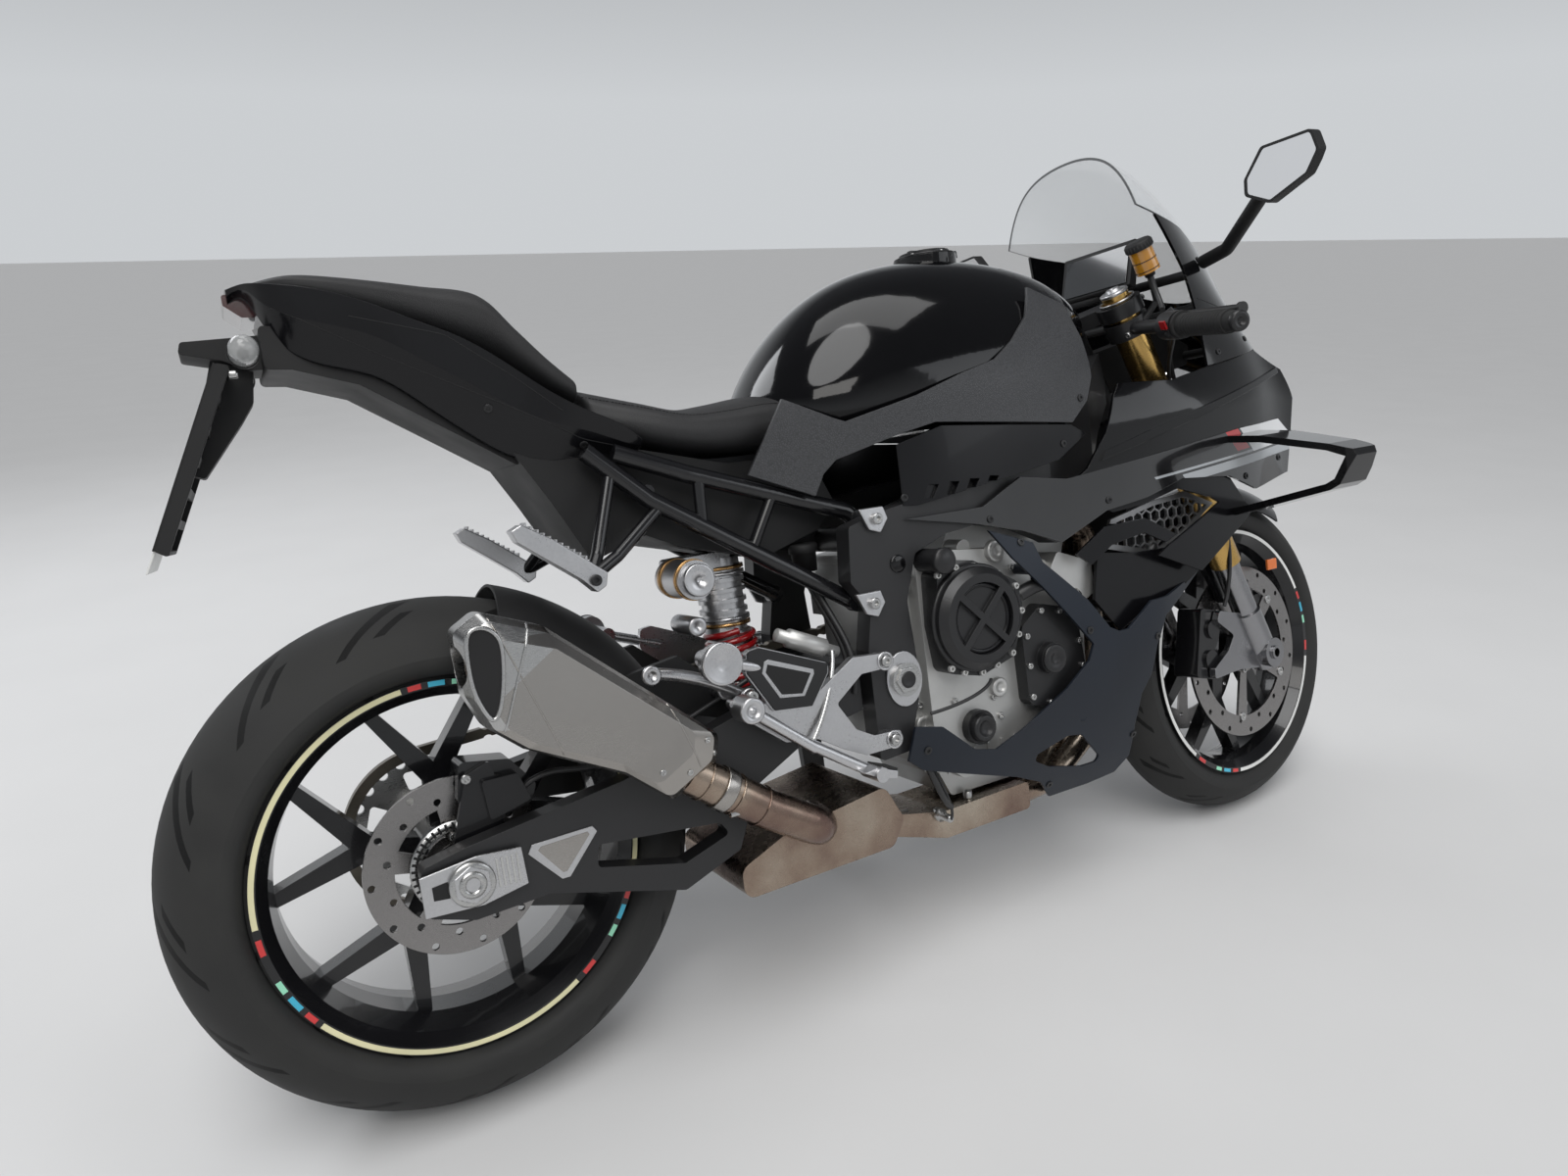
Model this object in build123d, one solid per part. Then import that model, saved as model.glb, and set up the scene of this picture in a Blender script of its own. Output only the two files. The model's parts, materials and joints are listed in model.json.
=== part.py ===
"""Sport bike parked on its side stand, one STEP file per named piece.

The bike is drawn upright: X forward with 0 at the rear axle, Y to its left and Z up from the ground.
The steered assembly is turned to its parked angle, then the whole bike leans onto its side stand.
Side outlines are (x, z) points of the right side. The left side mirrors the right one.
"""
from build123d import *
import math
import os

# Driving dimensions, in millimetres and degrees
WHEELBASE = 1457
REAR_RADIUS = 326
REAR_WIDTH = 198
REAR_CROWN = 105
FRONT_RADIUS = 300
FRONT_WIDTH = 120
FRONT_CROWN = 64
SEAT_RADIUS = 219
FLANGE_RADIUS = SEAT_RADIUS + 12
REAR_RIM_HALF = 84
FRONT_RIM_HALF = 54
RAKE = 23.9
STEER_REST = 5.2
LEAN = 13.5
OVERALL_HALF = 424
FORK_HALF = 105
FORK_OFFSET = 29.3
FORK_TUBE_RADIUS = 27
FORK_SLIDER_RADIUS = 22
CLAMP_RADIUS = FORK_TUBE_RADIUS + 9
STEER_CLEARANCE = 6
REAR_DISC_RADIUS = 110
REAR_DISC_Y = -78
FRONT_DISC_RADIUS = 160
FRONT_DISC_Y = 65
DISC_THICKNESS = 5
FRAME_HALF = 165
FRAME_WALL = 33
SWINGARM_HALF = 150
SWINGARM_WALL = 30
ENGINE_HALF = 150
CHAIN_Y = 110.5
CHAIN_WIDTH = 14
REAR_SPROCKET_RADIUS = 108
FRONT_SPROCKET_RADIUS = 43
PANEL_WALL = 5
SCREEN_WALL = 4
RUNNING_FIT = 0.5
REAR_HUB_HALF = -REAR_DISC_Y - DISC_THICKNESS / 2
FRONT_HUB_HALF = FRONT_DISC_Y - DISC_THICKNESS / 2
SEAT_GAP = 0.3
AXLE_RADIUS = 12.5
STAND_BORE_RADIUS = 8
STAND_BORE_DEPTH = 30
BAR_RADIUS = 11
GRIP_RADIUS = 17
FUEL_CAP_RADIUS = 44
CLUTCH_RADIUS = 74
SHOCK_Y = -16
COIL_RADIUS = 5

PIVOT = (623, 437)
FRONT_SPROCKET = (702, 440)
STAND_PIVOT = Vector(600, 122, 235)
STAND_FOOT = Vector(640, 262, 66)
STAND_FOLDED = Vector(-0.97, 0.2, -0.12)
CAP_CENTRE = (868, 1054)
CLUTCH = (742, 505)


# Basic shapes

def on_side(y):
    """Plane whose X runs forward, whose Y runs up and whose normal points to the right of the bike."""
    return Plane(origin=(0, y, 0), x_dir=(1, 0, 0), z_dir=(0, -1, 0))


def across(x, z=0):
    """Plane across the bike, whose X runs to the left and whose Y runs up."""
    return Plane(origin=(x, 0, z), x_dir=(0, 1, 0), z_dir=(1, 0, 0))


def area(outline, radius=0):
    """Flat area inside an outline, its corners rounded to the radius."""
    if radius:
        return make_face(FilletPolyline(*outline, radius=radius, close=True))
    return make_face(Polyline(*outline, close=True))


def slab(outline, y_a, y_b, radius=0):
    """Plate with a side outline, between two distances from the middle plane."""
    return extrude(on_side(max(y_a, y_b)) * area(outline, radius), abs(y_a - y_b))


def rod(start, end, radius):
    """Round bar from one point to another."""
    run = Vector(*end) - Vector(*start)
    return extrude(Plane(origin=start, z_dir=run) * Circle(radius), run.length)


def tube(points, radius, bend):
    """Round bar along straight runs that arcs of one radius join."""
    path = FilletPolyline(*points, radius=bend)
    return sweep(Plane(origin=path @ 0, z_dir=path % 0) * Circle(radius), path=path)


def turned(profile, x=0, z=0):
    """Solid turned about an axle from a profile of (y, radius) points."""
    return revolve(across(x, z) * profile, axis=Axis((x, 0, z), (0, 1, 0)))


def both(*shapes):
    """The right side pieces together with their mirror images."""
    right = [solid for shape in shapes for solid in shape.solids()]
    left = [mirror(solid, about=Plane.XZ) for solid in right]
    return Compound(right + left)


def joined(*shapes):
    """Several pieces in one node."""
    return Compound([solid for shape in shapes for solid in shape.solids()])


def at_fork(shape):
    """Carry a piece that was drawn along Z to its place on the straight fork."""
    return Compound([FORK_PLACE * solid for solid in shape.solids()])


def flow(stations, x):
    """Value at x on a smooth curve through (x, value) stations."""
    if x <= stations[0][0]:
        return stations[0][1]
    if x >= stations[-1][0]:
        return stations[-1][1]
    spans = list(zip(stations, stations[1:]))
    slopes = [(b[1] - a[1]) / (b[0] - a[0]) for a, b in spans]
    ends = [slopes[0]] + [(a + b) / 2 for a, b in zip(slopes, slopes[1:])] + [slopes[-1]]
    index = max(i for i, (a, b) in enumerate(spans) if x >= a[0])
    (x0, v0), (x1, v1) = spans[index]
    step = x1 - x0
    t = (x - x0) / step
    rise = (3 - 2 * t) * t * t
    leave = t * (1 - t) ** 2 * step * ends[index]
    arrive = t * t * (t - 1) * step * ends[index + 1]
    return v0 + (v1 - v0) * rise + leave + arrive


def skin(half_width, outline):
    """Curved outer face on the right side, over the whole outline."""
    xs = [p[0] for p in outline]
    zs = [p[1] for p in outline]
    columns = max(4, round((max(xs) - min(xs)) / 60))
    rows = max(4, round((max(zs) - min(zs)) / 60))
    margin = 8
    grid = []
    for i in range(columns + 1):
        x = min(xs) - margin + (max(xs) - min(xs) + 2 * margin) * i / columns
        heights = [min(zs) - margin + (max(zs) - min(zs) + 2 * margin) * j / rows for j in range(rows + 1)]
        grid.append([Vector(x, -half_width(x, z), z) for z in heights])
    return Face.make_surface_from_array_of_points(grid, tol=0.5, min_deg=3, max_deg=3)


def panel(outline, half_width, wall=PANEL_WALL, radius=0):
    """Thin curved panel on the right side, cut to its side outline."""
    sheet = extrude(skin(half_width, outline), wall, dir=(0, 1, 0))
    return sheet & slab(outline, -400, 0, radius)


def pad(outline, half_width, inner_y, radius=0):
    """Right side piece with a curved outer face and a flat inner face."""
    block = extrude(skin(half_width, outline), 150, dir=(0, 1, 0))
    return block & slab(outline, -400, inner_y, radius)


def arch(x, half, bottom):
    """Area across the bike under a smooth curve through half points, with a straight lower edge."""
    right = [(y, z) for y, z in half if y > 0]
    peak = [(0, z) for y, z in half if y == 0]
    points = [(-y, z) for y, z in right] + peak + [(y, z) for y, z in reversed(right)]
    curve = Spline(*points)
    edges = curve + Polyline(points[-1], (right[0][0], bottom), (-right[0][0], bottom), points[0])
    return across(x) * make_face(edges)


# Steering geometry

FORK_DIR = Vector(-math.sin(math.radians(RAKE)), 0, math.cos(math.radians(RAKE)))
FORWARD_DIR = Vector(math.cos(math.radians(RAKE)), 0, math.sin(math.radians(RAKE)))


def turn(vector, about, degrees):
    """A vector turned about a unit vector."""
    a = math.radians(degrees)
    return vector * math.cos(a) + about.cross(vector) * math.sin(a) + about * about.dot(vector) * (1 - math.cos(a))


def front_axle_height():
    """Height of the upright front axle at which the leaning, steered front tyre meets the ground."""
    lean = math.radians(LEAN)
    offset = FORWARD_DIR * -FORK_OFFSET
    shift = offset - turn(offset, FORK_DIR, STEER_REST)
    axle = turn(Vector(0, 1, 0), FORK_DIR, STEER_REST)
    axle_rise = -axle.Y * math.sin(lean) + axle.Z * math.cos(lean)
    lift = REAR_CROWN * (1 - math.cos(lean))
    centre = (FRONT_RADIUS - FRONT_CROWN) * math.sqrt(1 - axle_rise ** 2) + FRONT_CROWN
    return (centre - lift + shift.Y * math.sin(lean)) / math.cos(lean) - shift.Z


FRONT_AXLE = Vector(WHEELBASE, 0, front_axle_height())
FORK_PLACE = Location(FRONT_AXLE) * Location((0, 0, 0), (0, -RAKE, 0))
STEER_POINT = FRONT_AXLE + FORWARD_DIR * -FORK_OFFSET


def fork_point(u, v, w):
    """Point given forward of, beside and up along the straight fork, from the front axle."""
    return FRONT_AXLE + FORWARD_DIR * u + Vector(0, v, 0) + FORK_DIR * w


# Wheels

def tyre(radius, width, crown, rim_half):
    """Tyre with a round crown, side walls that fall in to the beads and a seat on the rim."""
    edge = width / 2 - 1
    edge_r = radius - crown + math.sqrt(crown ** 2 - edge ** 2)
    bead = rim_half - 7
    outline = ThreePointArc((edge, edge_r), (0, radius), (-edge, edge_r))
    outline += Spline((-edge, edge_r), (-edge + 1, edge_r - 12), (-bead, FLANGE_RADIUS + 3))
    outline += Polyline((-bead, FLANGE_RADIUS + 3), (-bead, SEAT_RADIUS), (bead, SEAT_RADIUS), (bead, FLANGE_RADIUS + 3))
    outline += Spline((bead, FLANGE_RADIUS + 3), (edge - 1, edge_r - 12), (edge, edge_r))
    return turned(make_face(outline))


def spoke(hub_radius, stem, fork_angle, width, half_thick):
    """One Y spoke: a stem from the hub that splits into two arms towards the rim."""
    reach = SEAT_RADIUS - 12
    split = stem
    a = math.radians(fork_angle)
    tip = (reach * math.sin(a), reach * math.cos(a))
    side = (width * math.cos(a), -width * math.sin(a))
    outline = [
        (-width, hub_radius - 8), (-width * 0.8, split),
        (-tip[0] - side[0] * 0.5, tip[1] + side[1] * 0.5), (-tip[0] + side[0] * 0.5, tip[1] - side[1] * 0.5),
        (0, split + width * 1.6),
        (tip[0] - side[0] * 0.5, tip[1] - side[1] * 0.5), (tip[0] + side[0] * 0.5, tip[1] + side[1] * 0.5),
        (width * 0.8, split), (width, hub_radius - 8)]
    return slab(outline, -half_thick, half_thick)


def rim(rim_half, hub_half, spoke_half, spokes=5):
    """Cast rim: flanged barrel, hub with its axle bore and Y spokes."""
    inner = SEAT_RADIUS - 17
    barrel = [
        (-rim_half, FLANGE_RADIUS), (-rim_half + 6, FLANGE_RADIUS), (-rim_half + 7, SEAT_RADIUS),
        (rim_half - 7, SEAT_RADIUS), (rim_half - 6, FLANGE_RADIUS), (rim_half, FLANGE_RADIUS),
        (rim_half, FLANGE_RADIUS - 9), (rim_half - 16, SEAT_RADIUS - 10), (spoke_half + 6, inner),
        (-spoke_half - 6, inner), (-rim_half + 16, SEAT_RADIUS - 10), (-rim_half, FLANGE_RADIUS - 9)]
    hub_radius = 42
    bore = AXLE_RADIUS + RUNNING_FIT
    hub = [(-hub_half, bore), (-hub_half, 34), (-spoke_half - 10, hub_radius), (spoke_half + 10, hub_radius),
           (hub_half, 34), (hub_half, bore)]
    body = turned(area(barrel)) + turned(area(hub))
    one = spoke(hub_radius, 92, 19, 17, spoke_half)
    for i in range(spokes):
        body += one.rotate(Axis.Y, 360 / spokes * i)
    return body


def disc(radius, inner, y, carrier_inner, arms=5, holes=12):
    """Brake disc with drilled band and a carrier of short arms."""
    half = DISC_THICKNESS / 2
    band = turned(area([(y - half, inner), (y + half, inner), (y + half, radius), (y - half, radius)]))
    ring = turned(area([(y - half, carrier_inner), (y + half, carrier_inner),
                        (y + half, carrier_inner + 12), (y - half, carrier_inner + 12)]))
    arm = slab([(-9, carrier_inner + 6), (9, carrier_inner + 6), (14, inner + 4), (-14, inner + 4)], y - half, y + half)
    body = band + ring
    for i in range(arms):
        body += arm.rotate(Axis.Y, 360 / arms * i)
    middle = (radius + inner) / 2
    for i in range(holes):
        for ring_radius, lead in ((middle - (radius - inner) * 0.25, 0), (middle + (radius - inner) * 0.25, 0.5)):
            a = 2 * math.pi * (i + lead) / holes
            x, z = ring_radius * math.cos(a), ring_radius * math.sin(a)
            body -= rod((x, y - half - 1, z), (x, y + half + 1, z), 4.5)
    return body


# Steered assembly, drawn straight with the fork along Z

def fork_tubes():
    """Outer tubes of the upside-down fork, with their caps."""
    leg = rod((0, -FORK_HALF, 197), (0, -FORK_HALF, 715), FORK_TUBE_RADIUS)
    cap = rod((0, -FORK_HALF, 715), (0, -FORK_HALF, 727), FORK_TUBE_RADIUS - 5)
    return at_fork(both(leg + cap))


def fork_legs():
    """Sliders with their lower castings, the radial brake mounts and the axle."""
    slider = rod((0, -FORK_HALF, 40), (0, -FORK_HALF, 197), FORK_SLIDER_RADIUS)
    foot = rod((0, -FORK_HALF, -24), (0, -FORK_HALF, 92), FORK_SLIDER_RADIUS + 4)
    mount = slab([(-20, -20), (14, -28), (24, 0), (20, 92), (-20, 100), (-70, 140), (-86, 128), (-60, 80),
                  (-88, 66), (-140, 62), (-148, 46), (-80, 18)], -FORK_HALF - 6, -FORK_HALF + 6, 5)
    clamp = rod((0, -FORK_HALF - 26, 0), (0, -FORK_HALF + 26, 0), 27)
    side = slider + foot + mount + clamp
    tip = FORK_HALF + 30
    axle = rod((0, -tip, 0), (0, tip, 0), AXLE_RADIUS)
    bore = rod((0, -tip, 0), (0, -tip + STAND_BORE_DEPTH, 0), STAND_BORE_RADIUS)
    spacer = rod((0, -FORK_HALF + 20, 0), (0, -FRONT_HUB_HALF - RUNNING_FIT, 0), 20)
    body = side + mirror(side, about=Plane.XZ) + axle + spacer + mirror(spacer, about=Plane.XZ)
    return at_fork(body - bore - mirror(bore, about=Plane.XZ))


YOKE_LOW = 690


def yokes():
    """Upper and lower yokes with the steering stem between them."""
    def bridge(w_low, w_high, ring, neck):
        outline = [(-FORK_OFFSET - 24, -neck), (-FORK_OFFSET - 24, neck), (-16, FORK_HALF - ring * 0.6),
                   (-16, FORK_HALF + 20), (16, FORK_HALF + 20), (20, FORK_HALF - ring), (-2, neck),
                   (-2, -neck), (20, -FORK_HALF + ring), (16, -FORK_HALF - 20), (-16, -FORK_HALF - 20),
                   (-16, -FORK_HALF + ring * 0.6)]
        plate = extrude(Plane.XY.offset(w_low) * area(outline), w_high - w_low)
        for v in (-FORK_HALF, FORK_HALF):
            plate += rod((0, v, w_low), (0, v, w_high), ring)
        return plate
    lower = bridge(480, 520, 37, 26)
    upper = bridge(YOKE_LOW, YOKE_LOW + 24, 37, 22)
    stem = rod((-FORK_OFFSET, 0, 480), (-FORK_OFFSET, 0, YOKE_LOW + 32), 16)
    nut = rod((-FORK_OFFSET, 0, YOKE_LOW + 24), (-FORK_OFFSET, 0, YOKE_LOW + 36), 20)
    body = lower + upper + stem + nut
    for v in (-FORK_HALF, FORK_HALF):
        body -= rod((0, v, 470), (0, v, 730), FORK_TUBE_RADIUS)
    return at_fork(body)


CLAMP_LOW = 654
BAR_ROOT = (-14, -FORK_HALF - 20, CLAMP_LOW + 14)
BAR_END = (-112, -362, CLAMP_LOW + 14)


def along_bar(distance):
    """Point on the right handlebar, measured inwards from its end."""
    end, root = Vector(*BAR_END), Vector(*BAR_ROOT)
    return end + (root - end).normalized() * distance


def handlebars():
    """Clip-on clamps and bars."""
    clamp = rod((0, -FORK_HALF, CLAMP_LOW), (0, -FORK_HALF, CLAMP_LOW + 30), CLAMP_RADIUS)
    bar = rod(BAR_ROOT, BAR_END, BAR_RADIUS)
    neck = rod((0, -FORK_HALF - 10, CLAMP_LOW + 14), BAR_ROOT, BAR_RADIUS + 3)
    side = clamp + neck + bar - rod((0, -FORK_HALF, 640), (0, -FORK_HALF, 700), FORK_TUBE_RADIUS)
    return at_fork(both(side))


def grips():
    """Rubber grips with their end weights."""
    inner, outer = along_bar(122), along_bar(6)
    grip = rod(inner, outer, GRIP_RADIUS) + rod(inner, along_bar(116), GRIP_RADIUS + 4)
    weight = rod(outer, along_bar(-14), GRIP_RADIUS - 2)
    side = grip + weight - rod(along_bar(140), BAR_END, BAR_RADIUS)
    return at_fork(both(side))


def hand_controls():
    """Levers, master cylinders and switch housings."""
    housing = rod(along_bar(160), along_bar(126), 22)
    body = rod(along_bar(172), along_bar(150) + Vector(24, 0, 8), 15)
    pivot = along_bar(160) + Vector(32, 4, 2)
    block = rod(along_bar(162), pivot, 12)
    tip = along_bar(22) + Vector(56, 0, -4)
    knee = along_bar(120) + Vector(46, 0, -2)
    lever = tube([pivot, knee, tip], 6, 20) + rod(tip + (knee - tip).normalized() * 6, tip, 9)
    side = housing + body + block + lever - rod(along_bar(200), along_bar(100), BAR_RADIUS)
    return at_fork(both(side))


def reservoir():
    """Brake fluid pot beside the right fork cap, on its stalk."""
    base = Vector(20, -FORK_HALF - 62, CLAMP_LOW + 88)
    pot = rod(base, base + Vector(0, 0, 40), 19) + rod(base + Vector(0, 0, 40), base + Vector(0, 0, 50), 21)
    stalk = tube([(0, -FORK_HALF - 34, CLAMP_LOW + 18), (24, -FORK_HALF - 52, CLAMP_LOW + 36), base], 5, 8)
    return at_fork(pot + stalk)


def front_mudguard():
    """Arched mudguard on struts that reach the fork sliders."""
    low = 268
    outer = ThreePointArc((-75, low), (0, FRONT_RADIUS + 23), (75, low))
    inner = ThreePointArc((71, low), (0, FRONT_RADIUS + 19), (-71, low))
    rim_a = Line((75, low), (71, low))
    rim_b = Line((-71, low), (-75, low))
    arc = across(0) * make_face(outer + rim_a + inner + rim_b)
    guard = revolve(arc, axis=Axis((0, 0, 0), (0, 1, 0)), revolution_arc=118).rotate(Axis.Y, -62)
    strut = slab([(-34, 262), (-20, 120), (22, 120), (62, 262), (30, 282), (-10, 284)], -FORK_HALF + 24, -71, 8)
    tab = slab([(-16, 120), (16, 120), (16, 175), (-16, 175)], -FORK_HALF + 6, -71, 6)
    leg = rod((0, -FORK_HALF, 40), (0, -FORK_HALF, 300), FORK_TUBE_RADIUS)
    side = strut + tab - leg
    return at_fork(guard + side + mirror(side, about=Plane.XZ))


def front_calipers():
    """Radial four-piston calipers over both front discs."""
    middle = (-112, 96)
    run = (0.634, 0.773)
    cross = (0.773, -0.634)
    half_long, half_wide = 62, 30

    def corner(a, b):
        return (middle[0] + run[0] * a + cross[0] * b, middle[1] + run[1] * a + cross[1] * b)

    outline = [corner(-half_long, -half_wide), corner(half_long, -half_wide),
               corner(half_long, half_wide * 0.9), corner(-half_long, half_wide * 0.9)]
    body = slab(outline, -FORK_HALF + 8, -49, 9)
    pistons = [rod((corner(a, 4)[0], -FORK_HALF + 8, corner(a, 4)[1]),
                   (corner(a, 4)[0], -FORK_HALF + 3, corner(a, 4)[1]), 17) for a in (-27, 27)]
    for piston in pistons:
        body += piston
    body -= rod((0, -FRONT_DISC_Y - 8, 0), (0, -FRONT_DISC_Y + 8, 0), FRONT_DISC_RADIUS + 6)
    return at_fork(both(body))


# Frame and running gear

SPAR_OUTLINE = [
    (563, 662), (618, 676), (758, 696), (895, 708), (984, 760), (1040, 822), (1100, 872), (1150, 902),
    (1208, 802), (1110, 745), (1020, 665), (935, 584), (864, 617), (785, 636), (725, 630), (668, 610),
    (645, 545), (650, 463), (645, 401), (621, 332), (570, 328), (571, 486), (584, 548), (556, 585)]


def head_rod(w_low, w_high, radius):
    """Round bar on the steering axis."""
    return rod(fork_point(-FORK_OFFSET, 0, w_low), fork_point(-FORK_OFFSET, 0, w_high), radius)


def stand_axis():
    """Hinge line of the side stand, about which it folds back and up."""
    down = (STAND_FOOT - STAND_PIVOT).normalized()
    return down.cross(STAND_FOLDED.normalized()).normalized()


def frame():
    """Twin-spar frame with its steering head, cross tubes and the side stand bracket."""
    inner = FRAME_HALF - FRAME_WALL
    plan = [(540, -FRAME_HALF), (935, -FRAME_HALF), (1060, -FRAME_HALF + 35), (1190, -44), (1190, -14),
            (1160, -14), (1035, -92), (915, -inner), (540, -inner)]
    spar = slab(SPAR_OUTLINE, -FRAME_HALF - 5, 0, 8) & extrude(Plane.XY.offset(300) * area(plan), 700)
    body = spar + mirror(spar, about=Plane.XZ)
    swing = math.hypot(FORK_OFFSET, FORK_HALF)
    body -= head_rod(CLAMP_LOW - STEER_CLEARANCE, CLAMP_LOW + 100, swing + CLAMP_RADIUS + STEER_CLEARANCE)
    body += head_rod(530, 680, 33)
    for x, z, radius in ((600, 640, 18), (597, 340, 11)):
        body += rod((x, -inner - 5, z), (x, inner + 5, z), radius)
    body += slab([(404, 650), (440, 650), (596, 622), (604, 654), (440, 672)], -34, 6)
    front = TANK_STATIONS[-1][0] + SEAT_GAP
    bridge = slab([(front, 866), (front + 9, 866), (front + 9, 904), (front, 904)], -104, 104)
    posts = slab([(1054, 822), (front + 9, 840), (front + 9, 884), (front, 884)], -104, -86)
    body += bridge + posts + mirror(posts, about=Plane.XZ)
    axis = stand_axis()
    boss = rod(STAND_PIVOT - axis * 22, STAND_PIVOT - axis * 7.5, 19)
    web = slab([(578, 344), (618, 344), (618, 226), (584, 214)], 90, 104, 6)
    body += boss + web
    body += rod(STAND_PIVOT - axis * 10, STAND_PIVOT + axis * 13, 8 - RUNNING_FIT)
    body -= head_rod(500, 700, 16 + RUNNING_FIT)
    for side in (-1, 1):
        body -= rod((PIVOT[0], side * 120, PIVOT[1]), (PIVOT[0], side * 180, PIVOT[1]), 14)
    return body


def swingarm():
    """Swingarm: two arms with windows, a cross member and a pivot tube."""
    inner = SWINGARM_HALF - SWINGARM_WALL
    outline = [(-52, 296), (-52, 354), (0, 366), (200, 395), (420, 455), (560, 470), (560, 404), (480, 390),
               (380, 340), (345, 262), (262, 232), (90, 282), (0, 278)]
    window = [(156, 324), (321, 306), (333, 288), (266, 267), (152, 296)]
    arm = slab(outline, -SWINGARM_HALF, -inner, 9) - slab(window, -160, -100, 6)
    nose = slab([(540, 466), (540, 404), (600, 404), (645, 415), (645, 459), (600, 470)], -FRAME_HALF + 38, -inner + 12, 6)
    arm += nose
    body = arm + mirror(arm, about=Plane.XZ)
    body += slab([(372, 342), (470, 384), (478, 446), (400, 440), (366, 400)], -inner - 4, inner + 4, 8)
    body += rod((PIVOT[0], -FRAME_HALF + FRAME_WALL + 1, PIVOT[1]), (PIVOT[0], FRAME_HALF - FRAME_WALL - 1, PIVOT[1]), 27)
    body -= slab([(470, 520), (470, 452), (670, 452), (670, 520)], 90, CHAIN_Y + CHAIN_WIDTH / 2 + 6)
    body -= slab([(500, 420), (500, 380), (670, 380), (670, 420)], 90, CHAIN_Y + CHAIN_WIDTH / 2 + 6)
    body -= rod((0, -200, REAR_RADIUS), (0, 200, REAR_RADIUS), AXLE_RADIUS)
    body -= rod((PIVOT[0], -200, PIVOT[1]), (PIVOT[0], 200, PIVOT[1]), 14)
    return body


def axles():
    """Rear axle with its nuts and adjuster blocks, and the swingarm pivot bolt."""
    outer = SWINGARM_HALF
    body = rod((0, -outer - 14, REAR_RADIUS), (0, outer + 14, REAR_RADIUS), AXLE_RADIUS)
    for side in (-1, 1):
        body += rod((0, side * outer, REAR_RADIUS), (0, side * (outer + 14), REAR_RADIUS), 20)
    block = slab([(-30, 298), (-30, 346), (28, 352), (28, 300)], -outer - 6, -outer, 5)
    wall = outer - SWINGARM_WALL
    spacer = rod((0, -wall, REAR_RADIUS), (0, -REAR_HUB_HALF - RUNNING_FIT, REAR_RADIUS), 19)
    left_spacer = rod((0, wall, REAR_RADIUS), (0, CHAIN_Y + 3 + RUNNING_FIT, REAR_RADIUS), 19)
    tip = outer + 14
    bore = rod((0, -tip, REAR_RADIUS), (0, -tip + STAND_BORE_DEPTH, REAR_RADIUS), STAND_BORE_RADIUS)
    body += block + mirror(block, about=Plane.XZ) + spacer + left_spacer
    body -= bore + mirror(bore, about=Plane.XZ)
    bolt = rod((PIVOT[0], -FRAME_HALF - 8, PIVOT[1]), (PIVOT[0], FRAME_HALF + 8, PIVOT[1]), 14)
    for side in (-1, 1):
        bolt += rod((PIVOT[0], side * FRAME_HALF, PIVOT[1]), (PIVOT[0], side * (FRAME_HALF + 10), PIVOT[1]), 24)
    return joined(body, bolt)


def sprocket(x, z, radius, teeth, half):
    """Chain wheel with rounded gaps between its teeth."""
    wheel = rod((x, CHAIN_Y - half, z), (x, CHAIN_Y + half, z), radius)
    for i in range(teeth):
        a = 2 * math.pi * i / teeth
        px, pz = x + radius * math.cos(a), z + radius * math.sin(a)
        wheel -= rod((px, CHAIN_Y - half - 1, pz), (px, CHAIN_Y + half + 1, pz), radius * 0.065)
    return wheel


def rear_sprocket():
    """Rear chain wheel on its carrier, bolted to the hub."""
    wheel = sprocket(0, 0, REAR_SPROCKET_RADIUS - 8, 24, 3)
    for i in range(5):
        window = slab([(-20, 58), (20, 58), (26, 84), (-26, 84)], CHAIN_Y - 5, CHAIN_Y + 5, 5)
        wheel -= window.rotate(Axis.Y, 72 * i)
    carrier = rod((0, REAR_HUB_HALF, 0), (0, CHAIN_Y - 3, 0), 52)
    bore = rod((0, 0, 0), (0, 200, 0), AXLE_RADIUS + RUNNING_FIT)
    return Pos(0, 0, REAR_RADIUS) * (wheel + carrier - bore)


def chain():
    """Closed drive chain, its edge scalloped like a run of link plates."""
    (xf, zf), xr, zr = FRONT_SPROCKET, 0, REAR_RADIUS
    rear_r, front_r, half = REAR_SPROCKET_RADIUS, FRONT_SPROCKET_RADIUS, 7
    distance = math.hypot(xf - xr, zf - zr)
    base = math.atan2(zf - zr, xf - xr)
    spread = math.acos((rear_r - front_r) / distance)

    def loop(grow):
        top, low = base + spread, base - spread
        points = [(cx + (r + grow) * math.cos(a), cz + (r + grow) * math.sin(a))
                  for cx, cz, r, a in ((xr, zr, rear_r, top), (xf, zf, front_r, top),
                                       (xf, zf, front_r, low), (xr, zr, rear_r, low))]
        front_mid = (xf + (front_r + grow) * math.cos(base), zf + (front_r + grow) * math.sin(base))
        rear_mid = (xr - (rear_r + grow) * math.cos(base), zr - (rear_r + grow) * math.sin(base))
        return make_face(Line(points[0], points[1]) + ThreePointArc(points[1], front_mid, points[2])
                         + Line(points[2], points[3]) + ThreePointArc(points[3], rear_mid, points[0]))

    plane = on_side(CHAIN_Y + CHAIN_WIDTH / 2)
    body = extrude(plane * loop(half), CHAIN_WIDTH) - extrude(plane * loop(-half), CHAIN_WIDTH)
    steps = 14
    for i in range(1, steps):
        for angle in (base + spread, base - spread):
            start = Vector(xr + rear_r * math.cos(angle), 0, zr + rear_r * math.sin(angle))
            end = Vector(xf + front_r * math.cos(angle), 0, zf + front_r * math.sin(angle))
            centre = start + (end - start) * (i / steps)
            out = Vector(math.cos(angle), 0, math.sin(angle)) * (half + 5)
            for edge in (centre + out, centre - out):
                body -= rod(edge + Vector(0, CHAIN_Y - 9, 0), edge + Vector(0, CHAIN_Y + 9, 0), 8)
    return body


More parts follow.
